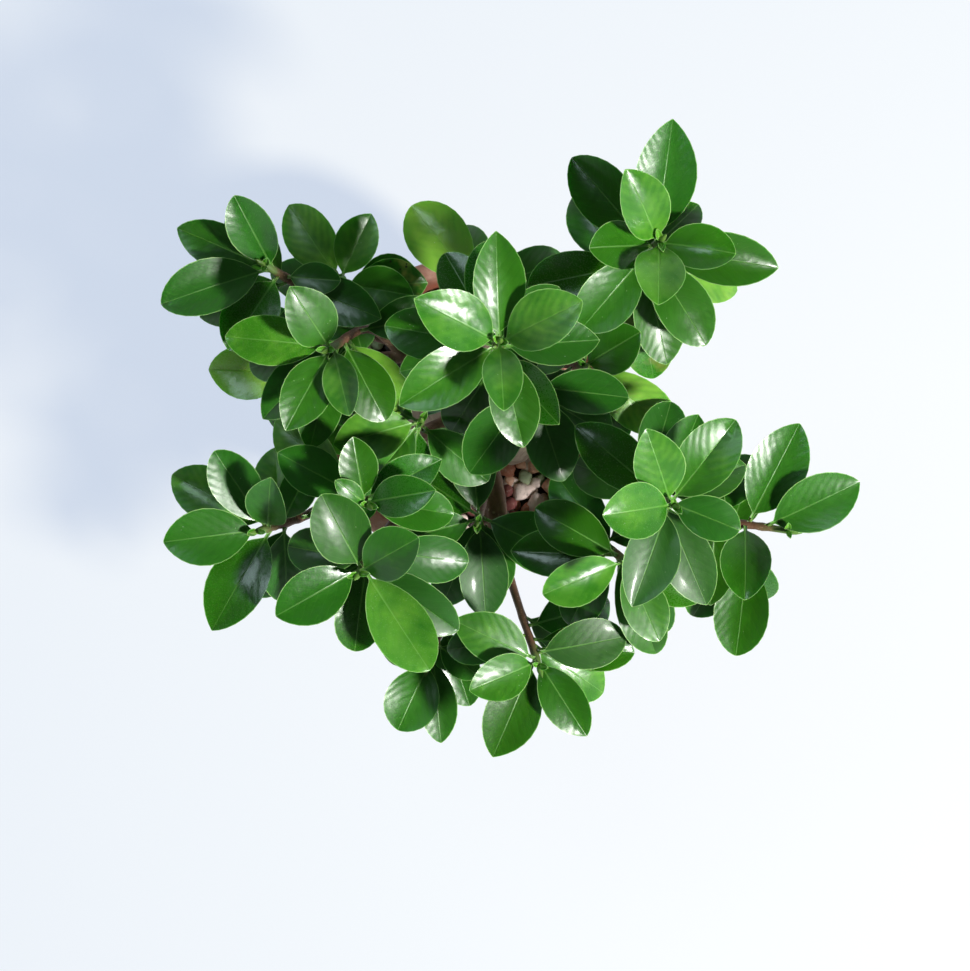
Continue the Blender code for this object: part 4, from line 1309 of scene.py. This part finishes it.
def leaf_top_finish():
    top = Finish(
        "ficus leaf upper",
        Roughness=0.27,
        IOR=1.5,
        Coat_Weight=0.12,
        Coat_Roughness=0.14,
        Subsurface_Weight=0.35,
        Subsurface_Radius=(0.4, 1.0, 0.15),
        Subsurface_Scale=0.9 * MM,
    )
    midrib, side, margin = veins_of(top)
    # Dark to bright green. The top stops give the painted light of sun shining through a blade.
    stops = (
        (0.0, (0.017, 0.09, 0.001)),
        (0.35, (0.022, 0.118, 0.002)),
        (0.62, (0.036, 0.17, 0.007)),
        (0.82, (0.11, 0.31, 0.024)),
        (1.0, (0.22, 0.45, 0.045)),
    )
    mottle = top.noise(110, 2, 0.5)
    quilt = side.rise(0.0, 0.5) * (0.03 + top.value("quilt") * 0.06)
    fine = top.noise(420, 3, 0.6)
    # The tone read here carries each leaf's painted light and shade as well as its own green.
    age = top.value("age") + (mottle - 0.5) * 0.45 + (fine - 0.5) * 0.15 + (quilt - 0.02) * 0.8
    body = top.node("ValToRGB", {"stops": stops}, {"Fac": age})
    cool = top.mix(top.value("hue") * 0.3, body, (0.01, 0.13, 0.02))
    # Painted shade: dull leaves, which lie in the shade of others, are darkened toward a deep
    # olive.
    dull = top.value("dull")
    shaded = top.mix(dull * 0.3, cool, (0.006, 0.05, 0.002))
    veined = top.mix(side.rise(0.07, 0.0) * 0.1, shaded, (0.09, 0.28, 0.04))
    stalk = top.value("along").rise(7, 1)
    ribbed = top.mix(midrib * (0.3 + stalk * 0.5), veined, (0.2, 0.46, 0.08))
    # The pale margin is partly the leaf's own pale edge and partly a painted highlight along the
    # rim.
    pale_margin_and_painted_highlight = margin * (top.noise(180, 2) * 0.6 + 0.3)
    edged = top.mix(pale_margin_and_painted_highlight, ribbed, (0.34, 0.56, 0.2))
    worn = top.value("worn")
    yellow = top.noise(75, 3, 0.6).rise(0.5, 0.62) * worn
    specks = top.cells(330).rise(0.22, 0.1) * top.noise(90, 2).rise(0.5, 0.6) * worn
    aged = top.mix(yellow * 0.75, edged, (0.33, 0.3, 0.06))
    spotted = top.mix(specks, aged, (0.03, 0.015, 0.008))
    dust = top.cells(420).rise(0.1, 0.05) * top.noise(60, 2).rise(0.5, 0.65)
    top.colour(top.mix(dust * 0.35, spotted, (0.5, 0.6, 0.42)))
    pores = top.noise(1700, 2, 0.6)
    top.relief(quilt - midrib * 0.15 + pores * 0.03 + mottle * 0.7 + fine * 0.1, 0.5 * MM)
    gloss = 0.21 + top.value("quilt") * 0.14 + dull * 0.25
    top.roughness(gloss + pores * 0.08 + yellow * 0.25 + midrib * 0.15)
    return top.material


def leaf_under_finish():
    under = Finish("ficus leaf under", Roughness=0.5, IOR=1.42)
    midrib, side, margin = veins_of(under)
    # The underside's tone follows the same listed tones, with their painted light and shade.
    body = under.mix(under.value("age"), (0.06, 0.16, 0.03), (0.17, 0.34, 0.05))
    side = side.rise(0.1, 0.02)
    veined = under.mix(side * 0.3, body, (0.2, 0.35, 0.09))
    ribbed = under.mix(midrib * 0.8, veined, (0.3, 0.42, 0.15))
    under.colour(under.mix(margin * 0.6, ribbed, (0.3, 0.4, 0.14)))
    under.relief(midrib * 0.6 + side * 0.35 + under.noise(1200, 2) * 0.15, 0.4 * MM)
    return under.material


def stem_finish():
    """Green near the tip, then brown and corky below."""
    stem = Finish("ficus stem", Roughness=0.6)
    below = stem.value("below") + (stem.noise(220, 3) - 0.5) * 14
    woody = below.rise(1, 12)
    body = stem.mix(woody, (0.08, 0.16, 0.03), (0.13, 0.06, 0.03))
    flecks = stem.cells(900).rise(0.3, 0.12) * woody
    stem.colour(stem.mix(flecks * 0.6, body, (0.35, 0.24, 0.14)))
    stem.relief(stem.noise(700, 3, 0.6, stretch=(0.6, 0.6, 1.6)), 0.3 * MM)
    return stem.material


def bud_finish():
    bud = Finish("ficus bud", Roughness=0.35)
    bud.colour(bud.mix(bud.noise(500, 2), (0.05, 0.16, 0.02), (0.16, 0.26, 0.05)))
    bud.relief(bud.noise(900, 2), 0.15 * MM)
    return bud.material


LEAF_MATERIALS = (leaf_top_finish(), leaf_under_finish())
STEM_MATERIAL = stem_finish()
BUD_MATERIAL = bud_finish()

# %% [markdown]
# ## The shoots
# Each shoot becomes one piece in place of its solid: stem, buds and leaves joined. Two young
# leaves, less than a centimetre long, stand folded round each end bud.

# %% Build the shoots
def young_leaves(tip, draw):
    """Two small leaves still folding out beside the end bud."""
    heading = draw.uniform(0, 360)
    return [
        {
            "root": tip - UP * 0.5 * MM,
            "heading": heading + number * 165,
            "rise": draw.uniform(52, 66),
            "length": draw.uniform(5, 8) * MM,
            "width": draw.uniform(2.4, 3.4) * MM,
            "fold": 32,
            "arch": draw.uniform(10, 25),
            "point": 0.6,
            "age": draw.uniform(0.6, 0.8),
            "cup": 0.5,
            **dict.fromkeys(("roll", "worn", "dull", "wave", "quilt", "hue"), 0.0),
        }
        for number in range(2)
    ]


def build_shoot(shoot, found, blank, bud, draw):
    stem, tip, forward = fine_stem(shoot, found)
    stem.data.materials.append(STEM_MATERIAL)
    parts = [stem, copy_bud(bud, tip, forward, BUD_LENGTH, TIP_RADIUS * BUD_FULLNESS)]
    for leaf in found:
        outward = outward_of(leaf)
        place = leaf["root"] + outward * TIP_RADIUS + UP * SIDE_BUD_LIFT
        parts.append(copy_bud(bud, place, outward + UP, SIDE_BUD_LENGTH, SIDE_BUD_RADIUS))
    for part in parts[1:]:
        part.data.materials.append(BUD_MATERIAL)
    for leaf in found + young_leaves(tip, draw):
        parts.append(copy_leaf(blank, leaf))
        for material in LEAF_MATERIALS:
            parts[-1].data.materials.append(material)
    piece = join_all(parts, shoot.name.replace("shoot_", "leafy_"))
    smooth_by(piece, degrees=50)
    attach(piece, "root")
    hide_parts(shoot.name)
    return piece


bud = model_bud()
shoot_draw = random.Random(SEED + 2)
total = 0
for shoot in SHOOTS:
    piece = build_shoot(shoot, leaves[shoot.name], blank, bud, shoot_draw)
    total += len(piece.data.polygons)
bpy.data.objects.remove(blank)
bpy.data.objects.remove(bud)
print("faces of all shoots:", total)
